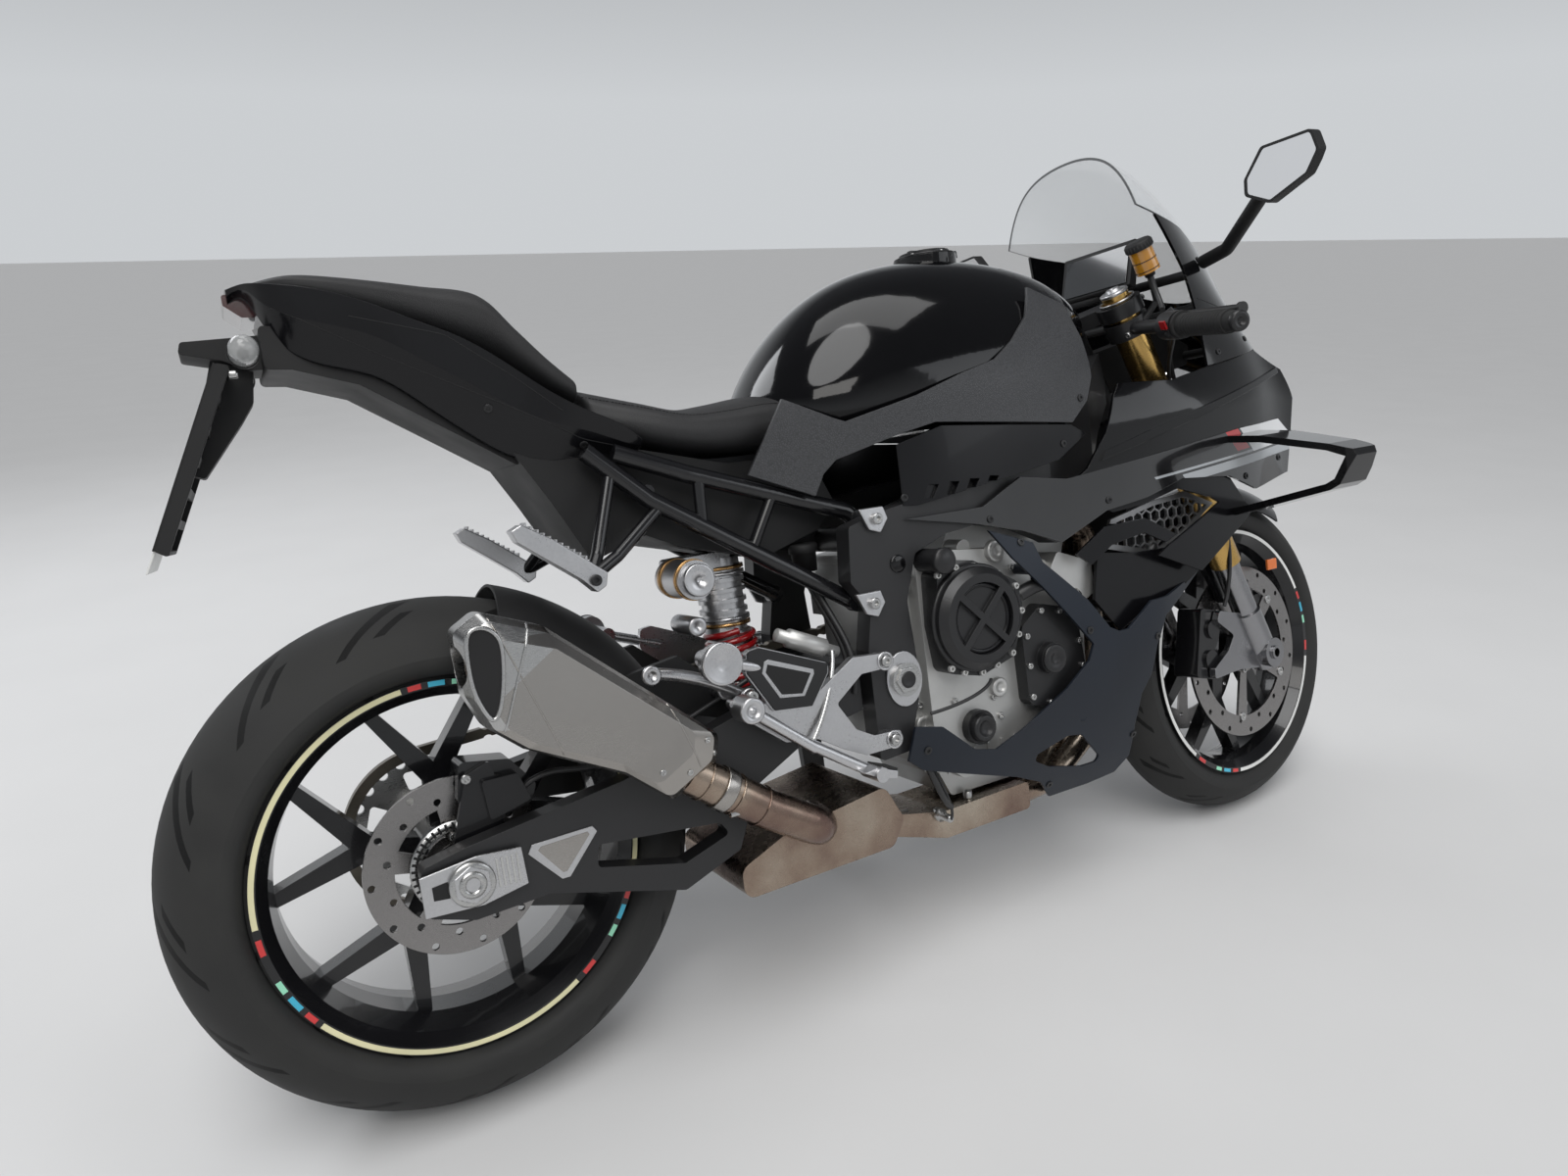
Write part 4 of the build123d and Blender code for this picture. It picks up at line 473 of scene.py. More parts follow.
def turned(name, centre, axis, profile, mat, body="chassis", steps=96, closed=True):
    """Profile of (along the axis, radius) points turned about an axis; closed where it is a ring."""
    axis = axis.normalized()
    first = axis.orthogonal().normalized()
    second = axis.cross(first)
    verts, faces = [], []
    for i in range(steps):
        a = 2 * math.pi * i / steps
        out = first * math.cos(a) + second * math.sin(a)
        verts += [centre + axis * (along / 1000) + out * (radius / 1000) for along, radius in profile]
    count = len(profile)
    for i in range(steps):
        here, there = i * count, ((i + 1) % steps) * count
        for j in range(count if closed else count - 1):
            k = (j + 1) % count
            faces.append((here + j, there + j, there + k, here + k))
    return piece(name, verts, faces, mat, body)


def disc_stack(name, centre, axis, rings, mat, body="chassis", steps=56):
    """Round part whose profile starts or ends at its own rim or axis."""
    return turned(name, centre, axis, rings, mat, body, steps, closed=False)


def sleeve(name, centre, axis, half, inner, outer, mat, body="chassis", steps=60):
    """Square-edged band about an axis, between two radii, to half its length on each side of a point."""
    profile = [(-half, inner), (-half, outer), (half, outer), (half, inner)]
    return turned(name, centre, axis, profile, mat, body, steps)


def joined_mesh(name, parts, mat, body="chassis", smooth=False):
    """One piece from several (verts, faces) parts."""
    verts, faces = [], []
    for part_verts, part_faces in parts:
        base = len(verts)
        verts += part_verts
        faces += [tuple(base + i for i in face) for face in part_faces]
    return piece(name, verts, faces, mat, body, smooth)


def bolt_mesh(place, direction, radius, height, sides=20):
    """Socket cap screw head with a chamfer and a hexagon recess."""
    axis = direction.normalized()
    first = axis.orthogonal().normalized()
    second = axis.cross(first)
    r, h = radius / 1000, height / 1000
    angles = [2 * math.pi * i / sides for i in range(sides)]
    verts, faces = [], []

    def ring(along, radius_at):
        for a in angles:
            verts.append(place + axis * along + (first * math.cos(a) + second * math.sin(a)) * radius_at(a))

    def recess(a):
        return r * 0.5 * math.cos(math.pi / 6) / math.cos(a % (math.pi / 3) - math.pi / 6)

    for along, ring_radius in ((0.0, r), (h * 0.8, r), (h, r * 0.86)):
        ring(along, lambda a: ring_radius)
    for along in (h, h * 0.35):
        ring(along, recess)
    for k in range(4):
        for i in range(sides):
            j = (i + 1) % sides
            faces.append((k * sides + i, k * sides + j, (k + 1) * sides + j, (k + 1) * sides + i))
    faces.append(tuple(4 * sides + i for i in range(sides)))
    return verts, faces


def bolts(name, places, mat=steel, body="chassis"):
    """Screw heads at (place, direction, radius, height) in one piece."""
    return joined_mesh(name, [bolt_mesh(*p) for p in places], mat, body)


def slab(name, outline, direction, thickness, mat, bevel, body="chassis"):
    """Flat plate from an outline of points, thickened along a direction, with softened edges."""
    offset = direction.normalized() * (thickness / 1000)
    count = len(outline)
    verts = list(outline) + [p + offset for p in outline]
    faces = [tuple(range(count)), tuple(reversed(range(count, 2 * count)))]
    faces += [(i, i + count, (i + 1) % count + count, (i + 1) % count) for i in range(count)]
    obj = piece(name, verts, faces, mat, body, False)
    face_outwards(obj)
    soften = obj.modifiers.new("edges", "BEVEL")
    soften.width = bevel / 1000
    soften.segments = 3
    return obj


def placed(points, y):
    """Side outline points at one distance from the middle."""
    return [bike(x, y, z) for x, z in points]


BOX_FACES = [(0, 1, 2, 3), (7, 6, 5, 4), (0, 4, 5, 1), (1, 5, 6, 2), (2, 6, 7, 3), (3, 7, 4, 0)]


def bar(corners, start, end):
    """Part with four corners in the side view, between two distances from the middle."""
    return placed(corners, start) + placed(corners, end), BOX_FACES


def upright_bars(name, places, width, heights, start, end):
    """Row of upright cast bars at places along the bike."""
    low, high = heights
    bars = [bar([(x, low), (x + width, low), (x + width, high), (x, high)], start, end) for x in places]
    joined_mesh(name, bars, cast_silver)


def run(*points, where=bike):
    """Points in the scene from points of the drawing."""
    return [where(*p) for p in points]


def oval(centre, wide, high, step, first=0):
    """Points of an oval around a centre, by degrees."""
    angles = [math.radians(a) for a in range(first, first + 360, step)]
    return [(centre[0] + wide * math.cos(a), centre[1] + high * math.sin(a)) for a in angles]


def around(count, where, radius, y, first=0):
    """Points evenly around a wheel's axle, from an angle off the top."""
    angles = [math.radians(first + 360 * i / count) for i in range(count)]
    return [where(radius * math.sin(a), y, radius * math.cos(a)) for a in angles]


def curve_value(a, b, c, d, t):
    """Smooth run from b to c, led by the values a before and d after."""
    bend = 2 * a - 5 * b + 4 * c - d
    return 0.5 * (2 * b + (c - a) * t + bend * t * t + (3 * b - a - 3 * c + d) * t ** 3)


def smooth_path(rows, steps):
    """Rows of values, run through smoothly with steps between each pair."""
    result = []
    padded = [rows[0], *rows, rows[-1]]
    for near in zip(padded, padded[1:], padded[2:], padded[3:]):
        for k in range(steps):
            result.append([curve_value(*values, k / steps) for values in zip(*near)])
    result.append(list(rows[-1]))
    return result


def smooth_closed(points, steps):
    """Closed smooth run through points."""
    n = len(points)
    return [curve_value(points[i - 1], points[i], points[(i + 1) % n], points[(i + 2) % n], k / steps)
            for i in range(n) for k in range(steps)]


# Finding a node's outer face

def tree_of(node):
    """Search tree of one CAD node, in world space."""
    obj = frame["nodes"][node]
    points = [obj.matrix_world @ v.co for v in obj.data.vertices]
    return BVHTree.FromPolygons(points, [tuple(p.vertices) for p in obj.data.polygons])


def on_surface(tree, x, z, side=-1):
    """Point and outward normal where a line from the side meets a node, or None."""
    place, normal = tree.ray_cast(bike(x, side * 600, z), RIGHT * side, 0.6)[:2]
    if place is None:
        return None
    if normal.dot(LEFT * side) < 0:
        normal = -normal
    return place, normal


def surface_screws(name, node, spots, radius, height, mat=black_cast, sides=(-1, 1)):
    """Screws that sit on a node's outer face, at side view spots."""
    tree = tree_of(node)
    found = [on_surface(tree, x, z, side) for side in sides for x, z in spots]
    bolts(name, [(p - n * 0.0004, n, radius, height) for p, n in filter(None, found)], mat)


def surface_bead(name, node, spots, radius, mat, side=-1, lift=0.0, resolution=2):
    """Thin bead over side view spots on a node's outer face."""
    tree = tree_of(node)
    found = [on_surface(tree, x, z, side) for x, z in spots]
    line = [p + n * (lift / 1000) for p, n in filter(None, found)]
    hose(name, line, radius, mat, resolution=resolution)


def seam(name, node, outline, radius, side):
    """Shallow dark seam that follows a side outline."""
    spots = []
    for (x0, z0), (x1, z1) in zip(outline, outline[1:]):
        count = max(2, int(math.hypot(x1 - x0, z1 - z0) / 12))
        spots += [(x0 + (x1 - x0) * i / count, z0 + (z1 - z0) * i / count) for i in range(count)]
    surface_bead(name, node, spots, radius, matt_black, side, -0.2)


def second_look(node, mat, rule):
    """Give the faces of a node whose centre and normal meet a rule another material."""
    obj = frame["nodes"][node]
    obj.data.materials.append(mat)
    slot = len(obj.data.materials) - 1
    turn = obj.matrix_world.to_3x3()
    for polygon in obj.data.polygons:
        if rule(obj.matrix_world @ polygon.center, turn @ polygon.normal):
            polygon.material_index = slot


# Stage

def add_lamp(name, kind, place, aim):
    """Lamp at a place in metres, turned to what it lights."""
    data = bpy.data.lights.new(name, kind)
    lamp = bpy.data.objects.new(name, data)
    bpy.context.collection.objects.link(lamp)
    lamp.location = place
    lamp.rotation_euler = (Vector(aim) - Vector(place)).to_track_quat("-Z", "Y").to_euler()
    return data


def make_stage():
    """Floor, lights and world."""
    scene = bpy.context.scene
    bpy.ops.mesh.primitive_plane_add(size=400, location=(0, 0, 0))
    floor = bpy.context.object
    floor.name = "floor"
    mat, tree, shader, link = new_material("floor_pale")
    speck = noise(tree, coordinates(tree), 3, 4)
    link(blend_colours(tree, speck, (0.6, 0.6, 0.6), (0.64, 0.64, 0.64)), shader.inputs["Base Color"])
    shader.inputs["Roughness"].default_value = 0.75
    floor.data.materials.append(mat)
    world = bpy.data.worlds.new("studio")
    scene.world = world
    world.use_nodes = True
    tree = world.node_tree
    height = split_vector(tree, add(tree, "ShaderNodeTexCoord").outputs["Generated"])[2]
    sky = colour_ramp(tree, height, [(0.12, (0.6, 0.62, 0.64)), (0.55, (0.1, 0.104, 0.112))])
    background = tree.nodes["Background"]
    tree.links.new(sky, background.inputs[0])
    background.inputs[1].default_value = 1.0
    lamps = [
        ("key", (-1.6, -3.4, 3.6), (0.1, -0.1, 0.6), 3.2, 1.4, 55, (1, 0.98, 0.95)),
        ("fill", (2.8, -3.0, 2.4), (0.3, 0, 0.6), 3.0, 1.6, 22, (0.93, 0.96, 1)),
        ("rim", (-2.4, 2.8, 3.0), (0, 0, 0.7), 3.0, 1.2, 52, (0.95, 0.97, 1)),
        ("top", (0.2, 0.2, 4.2), (0, 0, 0.6), 3.4, 1.2, 32, (1, 1, 1))]
    for name, place, aim, width, height, power, colour in lamps:
        data = add_lamp(name, "AREA", place, aim)
        data.shape = "RECTANGLE"
        data.size, data.size_y, data.energy, data.color = width, height, power, colour
    sun = add_lamp("daylight", "SUN", (-0.5, -0.6, 2.0), (0, 0, 0))
    sun.energy, sun.angle = 1.7, math.radians(40)
    scene.view_settings.view_transform = "Standard"


def make_camera():
    """Camera at the photograph's place, carried over from the upright bike drawing."""
    yaw, pitch, roll = math.radians(62.3), math.radians(-6.5), math.radians(-7.5)
    look = Vector((math.cos(pitch) * math.cos(yaw), math.cos(pitch) * math.sin(yaw), math.sin(pitch)))
    right = look.cross(Vector((0, 0, 1))).normalized()
    top = right.cross(look)
    across = right * math.cos(roll) + top * math.sin(roll)
    upward = top * math.cos(roll) - right * math.sin(roll)
    carried = [FORWARD * v.x + LEFT * v.y + UP * v.z for v in (across, upward, -look)]
    data = bpy.data.cameras.new("photo_view")
    data.sensor_width = 36
    data.lens = 23.78
    data.clip_start = 0.05
    camera = bpy.data.objects.new("photo_view", data)
    bpy.context.collection.objects.link(camera)
    rotation = Matrix(carried).transposed().to_4x4()
    camera.matrix_world = Matrix.Translation(bike(-182, -1373, 752)) @ rotation
    bpy.context.scene.camera = camera


# Seats

SEAT_STEPS = 40
STITCH_LENGTH = 0.003
STITCH_GAP = 0.0045
STITCH_RADIUS = 0.00045
STITCH_SHARE = 0.78
RIDER_SHOULDER = 0.42


def seat_pad(name, stations, shoulder, node):
    """Crowned seat cushion lofted along the bike and pinched at its edge seam."""
    rows = smooth_path(stations, 6)
    width = SEAT_STEPS + 1
    verts, faces = [], []
    for x, top, half, bottom in rows:
        for i in range(width):
            a = math.pi * i / SEAT_STEPS
            power = abs(math.sin(a)) ** shoulder
            edge = 1 - 0.1 * max(0, 1 - power * 1.6)
            pinch = 0.018 if 0.5 < power < 0.62 else 0
            verts.append(bike(x, -half * math.cos(a) * (edge - pinch), bottom + (top - bottom) * power))
    for i in range(len(rows) - 1):
        here, there = i * width, (i + 1) * width
        for j in range(width):
            k = (j + 1) % width
            faces.append((here + j, there + j, there + k, here + k))
    faces.append(tuple(range(width)))
    faces.append(tuple(reversed(range((len(rows) - 1) * width, len(rows) * width))))
    pad = piece(name, verts, faces, seat_cover)
    face_outwards(pad)
    soften = pad.modifiers.new("round", "SUBSURF")
    soften.levels = soften.render_levels = 1
    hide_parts(node)


def stitch_line(name, points):
    """Row of short dark stitches along a line of points."""
    shape = [(k, (k + 1) % 6, (k + 1) % 6 + 6, k + 6) for k in range(6)]
    shape += [tuple(range(6)), tuple(reversed(range(6, 12)))]
    parts = []
    for start, end in zip(points, points[1:]):
        direction = (end - start).normalized()
        side = direction.orthogonal().normalized()
        other = direction.cross(side)
        angles = [math.pi * k / 3 for k in range(6)]
        ring = [(side * math.cos(a) + other * math.sin(a)) * STITCH_RADIUS for a in angles]
        place = 0.0
        while place + STITCH_LENGTH < (end - start).length:
            ends = (start + direction * place, start + direction * (place + STITCH_LENGTH))
            parts.append(([end_point + out for end_point in ends for out in ring], shape))
            place += STITCH_GAP
    joined_mesh(name, parts, matt_black, smooth=True)


def make_seats():
    """Rider's seat with its stitches, and the passenger pad."""
    rider = [(246, 892, 84, 822), (325, 868, 111, 800), (380, 853, 119, 788), (440, 856, 117, 780),
             (500, 862, 111, 778), (548, 856, 97, 782), (606, 826, 62, 796)]
    seat_pad("rider_cushion", rider, RIDER_SHOULDER, "rider_seat")
    inward = math.cos(math.asin(STITCH_SHARE ** (1 / RIDER_SHOULDER)))
    for tag, side in SIDES:
        line = [bike(x, side * half * inward, bottom + (top - bottom) * STITCH_SHARE + 0.6)
                for x, top, half, bottom in smooth_path(rider, 6)]
        stitch_line(f"rider_stitch_{tag}", line)
    pad = [(-112, 1040, 46, 1022), (-70, 1046, 74, 1012), (-10, 1041, 84, 992), (70, 1030, 88, 962),
           (136, 1019, 90, 932), (172, 978, 92, 907), (205, 938, 92, 882), (240, 902, 88, 862)]
    seat_pad("passenger_cushion", pad, 0.28, "pillion_pad")


# Wheels

def arc_tape(name, where, offset, start, end, body, mat):
    """Thin tape on a rim's flange, between two angles from the top."""
    steps = max(3, (end - start) // 2)
    faces_at = (offset, offset + math.copysign(TAPE_THICKNESS, offset))
    verts, faces = [], []
    for i in range(steps + 1):
        a = math.radians(start + (end - start) * i / steps)
        verts += [where(radius * math.sin(a), y, radius * math.cos(a))
                  for y in faces_at for radius in (TAPE_INNER, TAPE_OUTER)]
    for b in range(0, steps * 4, 4):
        c = b + 4
        faces += [(b, c, c + 1, b + 1), (b + 2, b + 3, c + 3, c + 2), (b, b + 2, c + 2, c),
                  (b + 1, c + 1, c + 3, b + 3)]
    last = steps * 4
    faces += [(0, 1, 3, 2), (last, last + 2, last + 3, last + 1)]
    piece(name, verts, faces, mat, body, False)


def make_tape():
    """Coloured rim tape on both faces of both wheels."""
    wheels = (("front", fork, FRONT_RIM_HALF, "white", 8), ("rear", rear_wheel, REAR_RIM_HALF, "cream", 28))
    for name, where, half, main, first in wheels:
        arcs = (("tape", main, 0, 84), ("tape_red", "red", 86, 90), ("tape_cyan", "cyan", 92, 97),
                ("tape_mint", "mint", 99, 103), ("tape_end", "red", -8, -3))
        for tag, side in SIDES:
            for k in range(3):
                zero = k * 120 + first
                for kind, colour, start, end in arcs:
                    arc_tape(f"{kind}_{name}_{tag}_{k}", where, side * (half + 0.1), zero + start, zero + end,
                             f"{name}_wheel", tapes[colour])


def wheel_bolts():
    """Disc, hub and sprocket bolts, valves and the slotted ring of the rear wheel's speed sensor."""
    for tag, side in SIDES:
        places = [(p, AXLE * side, 5.5, 4) for p in around(5, fork, 36, side * FRONT_DISC_FACE)]
        places += [(p, AXLE * side, 8, 2.2) for p in around(5, fork, 124, side * FRONT_DISC_FACE)]
        bolts(f"front_disc_bolts_{tag}", places, body="front_wheel")
    bolts("rear_disc_bolts", [(p, RIGHT, 5.5, 4) for p in around(5, rear_wheel, 36, -80.6)],
          body="rear_wheel")
    places = [(p, LEFT, 6.5, 6) for p in around(5, rear_wheel, 43, 113.6, 36)]
    bolts("sprocket_bolts", places, body="rear_wheel")
    a = math.radians(100)
    for name, where, half in (("front", fork, 20), ("rear", rear_wheel, 30)):
        root = where(203 * math.sin(a), -half, 203 * math.cos(a))
        tip = where(186 * math.sin(a), -half - 14, 186 * math.cos(a))
        line = [root, (root * 2 + tip) / 3, (root + tip * 2) / 3, tip]
        hose(f"valve_{name}", line, 3.2, body=f"{name}_wheel")
        disc_stack(f"valve_cap_{name}", tip, tip - root, [(0, 0), (0, 4), (9, 4), (10, 3), (10, 0)],
                   matt_black, f"{name}_wheel", 20)
    sleeve("rear_sensor_ring", rear_wheel(0, -88, 0), LEFT, 1, 46, 58, steel, "rear_wheel", 72)
    # Black boxes at the ring's slots are painted shade in the openings
    parts = []
    for degrees in range(0, 360, 9):
        a = math.radians(degrees)
        corners = [(radius * math.sin(a + turn), radius * math.cos(a + turn))
                   for turn, radius in ((-0.03, 47.5), (0.03, 47.5), (0.028, 56.5), (-0.028, 56.5))]
        parts.append(([rear_wheel(u, y, w) for y in (-89.4, -86.6) for u, w in corners], BOX_FACES))
    joined_mesh("rear_sensor_slot_shade", parts, matt_black, "rear_wheel")


def rear_end():
    """Adjuster block, axle nut, side plate, caliper bolts and brake hose of the rear wheel."""
    block = [(-56, 300), (-56, 348), (10, 356), (62, 352), (64, 306), (10, 296)]
    slab("adjuster_block", placed(block, -156.4), RIGHT, 3.0, machined, 1.2)
    # The black plate on the adjuster block is painted shade standing for its slot
    slab("adjuster_slot_shade", placed([(-44, 318), (-44, 334), (-26, 336), (-26, 316)], -159.3), RIGHT, 0.8,
         matt_black, 0.3)
    ring = [(0, 14), (0, 27), (7, 27), (9, 25), (9, 14)]
    turned("axle_ring", rear_wheel(0, -157, 0), RIGHT, ring, steel, steps=60)
    slab("axle_nut", around(6, rear_wheel, 23, -158), RIGHT, 9, machined, 1.5)
    sleeve("axle_nut_bore", rear_wheel(0, -167.5, 0), RIGHT, 0.3, 8.2, 16, steel, steps=40)
    upright_bars("adjuster_marks", range(30, 60, 6), 2.6, (312, 346), -159.3, -160.6)
    badge = [(70, 338), (76, 348), (152, 350), (157, 342), (116, 296), (106, 296)]
    slab("arm_plate", placed(badge, -150.2), RIGHT, 1.6, machined, 0.6)
    inner = [(82, 339), (86, 343), (145, 345), (147, 341), (113, 304), (108, 304)]
    slab("arm_plate_field", placed(inner, -151.7), RIGHT, 0.5, can_steel, 0.2)
    bolts("rear_caliper_bolts", [(bike(48, -104, 432), RIGHT, 7, 5), (bike(80, -104, 396), RIGHT, 7, 5),
                                 (bike(20, -112, 436), RIGHT, 6, 4)])
    disc_stack("caliper_face", bike(52, -103.6, 414), RIGHT, [(0, 0), (0, 20), (2.5, 20), (4, 17), (4, 0)],
               gloss_metal, steps=40)
    hose("rear_brake_hose", run((80, -112, 404), (96, -118, 420), (130, -118, 424), (190, -116, 404),
                                (280, -112, 430), (370, -110, 462), (430, -118, 486)), 3.6)
    disc_stack("rear_hose_banjo", bike(78, -105, 402), RIGHT, [(0, 0), (0, 8), (9, 8), (10, 6), (10, 0)],
               steel, steps=24)
    for k, (x, z) in enumerate(((170, 407), (300, 436))):
        sleeve(f"hose_clip_{k}", bike(x, -115, z), FORWARD, 5, 4.0, 5.4, matt_black, steps=24)


def exhaust_detail():
    """Rim, inner wall and black mouth and back sheets of the silencer's outlet; the black sheets are painted
    shade inside the opening.
    """
    opening = [(27, 616), (25, 562), (38, 524), (50, 532), (60, 572), (61, 608), (45, 624)]
    corners = placed(opening, -228.4)
    centre = sum(corners, Vector((0, 0, 0))) / len(corners)
    loop = smooth_closed(corners, 5)
    count = len(loop)
    mouth = tuple(range(count))
    hose("silencer_outlet_rim", loop, 2.6, steel, resolution=3, closed=True)
    # Black sheets across the mouth and at the back: painted shade inside the outlet
    piece("silencer_outlet_mouth_shade", loop, [mouth], matt_black, smooth=False)
    front = [centre + (p - centre) * 0.97 for p in loop]
    back = [centre + (p - centre) * 0.9 + LEFT * 0.034 for p in loop]
    faces = [(i, (i + 1) % count, count + (i + 1) % count, count + i) for i in mouth]
    piece("silencer_outlet_wall", front + back, faces, tinted)
    piece("silencer_outlet_back_shade", back, [mouth], matt_black, smooth=False)


# Engine, frame and shock

def engine_detail():
    """Cover screws, clutch ring, timing disc, bosses, plugs, hoses and sump ribs."""
    ring = [(684, 576), (716, 582), (749, 579), (790, 562), (822, 538), (828, 500), (818, 466), (803, 441),
            (772, 429), (744, 424), (712, 430), (690, 440), (684, 470), (684, 505), (684, 540)]
    bolts("clutch_screws", [(place, RIGHT, 5, 6) for place in placed(ring, -187.6)], cast_silver)
    disc_stack("clutch_lip", bike(742, -190, 505), RIGHT, [(0, 79), (3, 79), (5, 77), (5, 74)], black_cast)
    disc_stack("clutch_rib", bike(742, -205.2, 505), RIGHT, [(0, 51.5), (1.5, 51), (1.5, 45), (0, 44.5)],
               satin_black)
    disc_stack("timing_face", bike(886, -186, 415), RIGHT,
               [(0, 22), (3, 22), (4, 20), (4, 9), (2.5, 8), (2.5, 0)], black_cast)
    edge = [(846, 362), (846, 410), (846, 456), (878, 490), (915, 483), (943, 470), (950, 430), (952, 390),
            (918, 340), (880, 346)]
    bolts("timing_screws", [(place, RIGHT, 5, 5) for place in placed(edge, -173.8)])
    spots = [(668, 600), (800, 600), (850, 560), (672, 380), (718, 380), (790, 372), (690, 320), (800, 340),
             (836, 520)]
    surface_screws("crankcase_screws", "engine_block", spots, 5.5, 5, steel, (-1,))
    tree = tree_of("engine_block")
    bosses = ((662, 560, 15), (820, 590, 17), (672, 352, 14), (722, 300, 12), (800, 385, 15))
    for k, (x, z, radius) in enumerate(bosses):
        profile = [(-1, radius), (7, radius), (9, radius - 2), (9, radius * 0.5), (6, radius * 0.45), (6, 0)]
        disc_stack(f"crankcase_boss_{k}", on_surface(tree, x, z)[0], RIGHT, profile, cast_silver)
    disc_stack("oil_filler", bike(690, -195, 596), RIGHT, [(0, 19), (8, 19), (11, 17), (11, 0)], black_cast)
    disc_stack("filter_end", bike(752, -163.8, 335), RIGHT,
               [(0, 22), (8, 21), (11, 18), (11, 12), (7, 11), (7, 0)], black_cast)
    hose("water_hose",
         run((842, -172, 520), (880, -186, 540), (925, -184, 520), (962, -165, 486), (985, -140, 450)), 11)
    sleeve("hose_band_0", bike(872, -184, 537), FORWARD + UP * 0.3, 4, 11, 12.6, steel, steps=40)
    sleeve("hose_band_1", bike(948, -174, 500), FORWARD - UP, 4, 11, 12.6, steel, steps=40)
    hose("sensor_lead", run((760, -188, 410), (748, -196, 396), (700, -190, 385), (655, -176, 380)), 2.6)
    hose("breather", run((640, -150, 330), (648, -172, 300), (660, -168, 250), (690, -150, 226)), 5)
    upright_bars("sump_ribs", range(690, 924, 26), 5, (276, 306), -150.5, -153)


def frame_detail():
    """Pivot plate and nut, plug, subframe lugs, fluid cup, rear master cylinder and link arm."""
    found = on_surface(tree_of("frame"), 600, 480)[0]
    face = (found - REAR).dot(RIGHT) * 1000
    slab("pivot_plate", placed(oval(PIVOT, 30, 40, 12), 0.2 - face), RIGHT, 4.5, machined, 1.2)
    slab("pivot_nut", placed(oval(PIVOT, 20, 20, 60), -face - 4), RIGHT, 9, steel, 1.4)
    disc_stack("pivot_nut_bore", placed([PIVOT], -face - 13.2)[0], RIGHT,
               [(0, 12), (0.4, 12), (0.4, 8), (0.1, 7.5), (0.1, 0)], black_cast)
    disc_stack("frame_plug", bike(636, 3 - face, 600), RIGHT, [(0, 13), (5, 12.5), (6, 10), (6, 0)],
               gloss_black)
    for k, (x, z) in enumerate(((604, 668), (584, 553))):
        lug = [(x - 26, z + 16), (x + 14, z + 16), (x + 20, z - 2), (x + 6, z - 20), (x - 12, z - 14)]
        for tag, side in SIDES:
            slab(f"subframe_lug_{k}_{tag}", placed(lug, side * (face + 1)), LEFT * side, 7, machined, 1.8)
            bolts(f"subframe_bolt_{k}_{tag}", [(bike(x, side * (face + 8), z), LEFT * side, 8, 7)])
    disc_stack("fluid_cup", bike(533, -84, 604), UP,
               [(0, 0), (0, 17), (26, 18), (27, 21), (38, 21), (40, 18), (40, 0)], matt_black)
    for k, y in enumerate((-76, -92)):
        hose(f"cup_hose_{k}", run((533, y, 606), (538, y - 8, 570), (552, y - 40, 520), (556, y - 62, 470),
                                  (548, y - 60, 430)), 4.5)
    start, end = run((435, -158, 536), (524, -158, 495))
    length = (end - start).length * 1000
    profile = [(0, 0), (0, 9), (16, 9), (18, 13), (length - 22, 13), (length - 18, 8), (length, 8),
               (length, 0)]
    disc_stack("rear_master", start, end - start, profile, cast_silver)
    hose("pedal_rod", run((510, -170, 500), (500, -186, 470), (470, -196, 420), (448, -200, 396)), 3.4, steel)
    hose("link_arm", run((262, -122, 514), (300, -124, 508), (342, -124, 494), (395, -120, 456)), 8.5,
         machined)
    for k, (x, z) in enumerate(((262, 514), (395, 456))):
        disc_stack(f"link_eye_{k}", bike(x, -133, z), RIGHT,
                   [(0, 13), (4, 13), (5, 11), (5, 5), (3, 4), (3, 0)], machined)


def shock_detail():
    """Red spring, bronze rings and the round can ends of the shock."""
    base, tip = run((431.5, -16, 534), (438, -16, 452))
    along = (tip - base).normalized()
    first = (RIGHT - along * RIGHT.dot(along)).normalized()
    second = along.cross(first)
    coils, steps = 6.4, 20
    points = []
    for i in range(int(coils * steps) + 1):
        a = 2 * math.pi * i / steps
        out = first * math.cos(a) + second * math.sin(a)
        points.append(base + (tip - base) * (i / (coils * steps)) + out * 0.0345)
    hose("red_spring", points, 4.6, red_plastic, resolution=3)
    for k, (z, mat) in enumerate(((625, bronze), (617, machined), (552, machined), (544, bronze))):
        sleeve(f"shock_ring_{k}", bike(428, -16, z), UP, 2.5, 31, 36.5, mat)
    sleeve("can_band", bike(345, -62, 624), RIGHT, 5, 26, 27.6, bronze)
    sleeve("can_band_outer", bike(345, -118, 624), RIGHT, 3, 26, 27.6, bronze)
    disc_stack("can_cap", bike(345, -133.8, 624), RIGHT,
               [(0, 22), (5, 21.5), (6, 20), (5.2, 18), (6, 14), (5.2, 12), (5.2, 5), (3, 4.5), (3, 0)],
               machined)
    disc_stack("lower_knob", bike(371, -112, 470), RIGHT,
               [(-40, 14), (6, 14), (8, 12), (7, 9), (7, 4), (4, 3), (4, 0)], machined)
    disc_stack("upper_knob", bike(346, -104, 560), RIGHT,
               [(-60, 13), (4, 13), (6, 11), (5, 8), (5, 3), (3, 2), (3, 0)], machined)


# Feet and hands

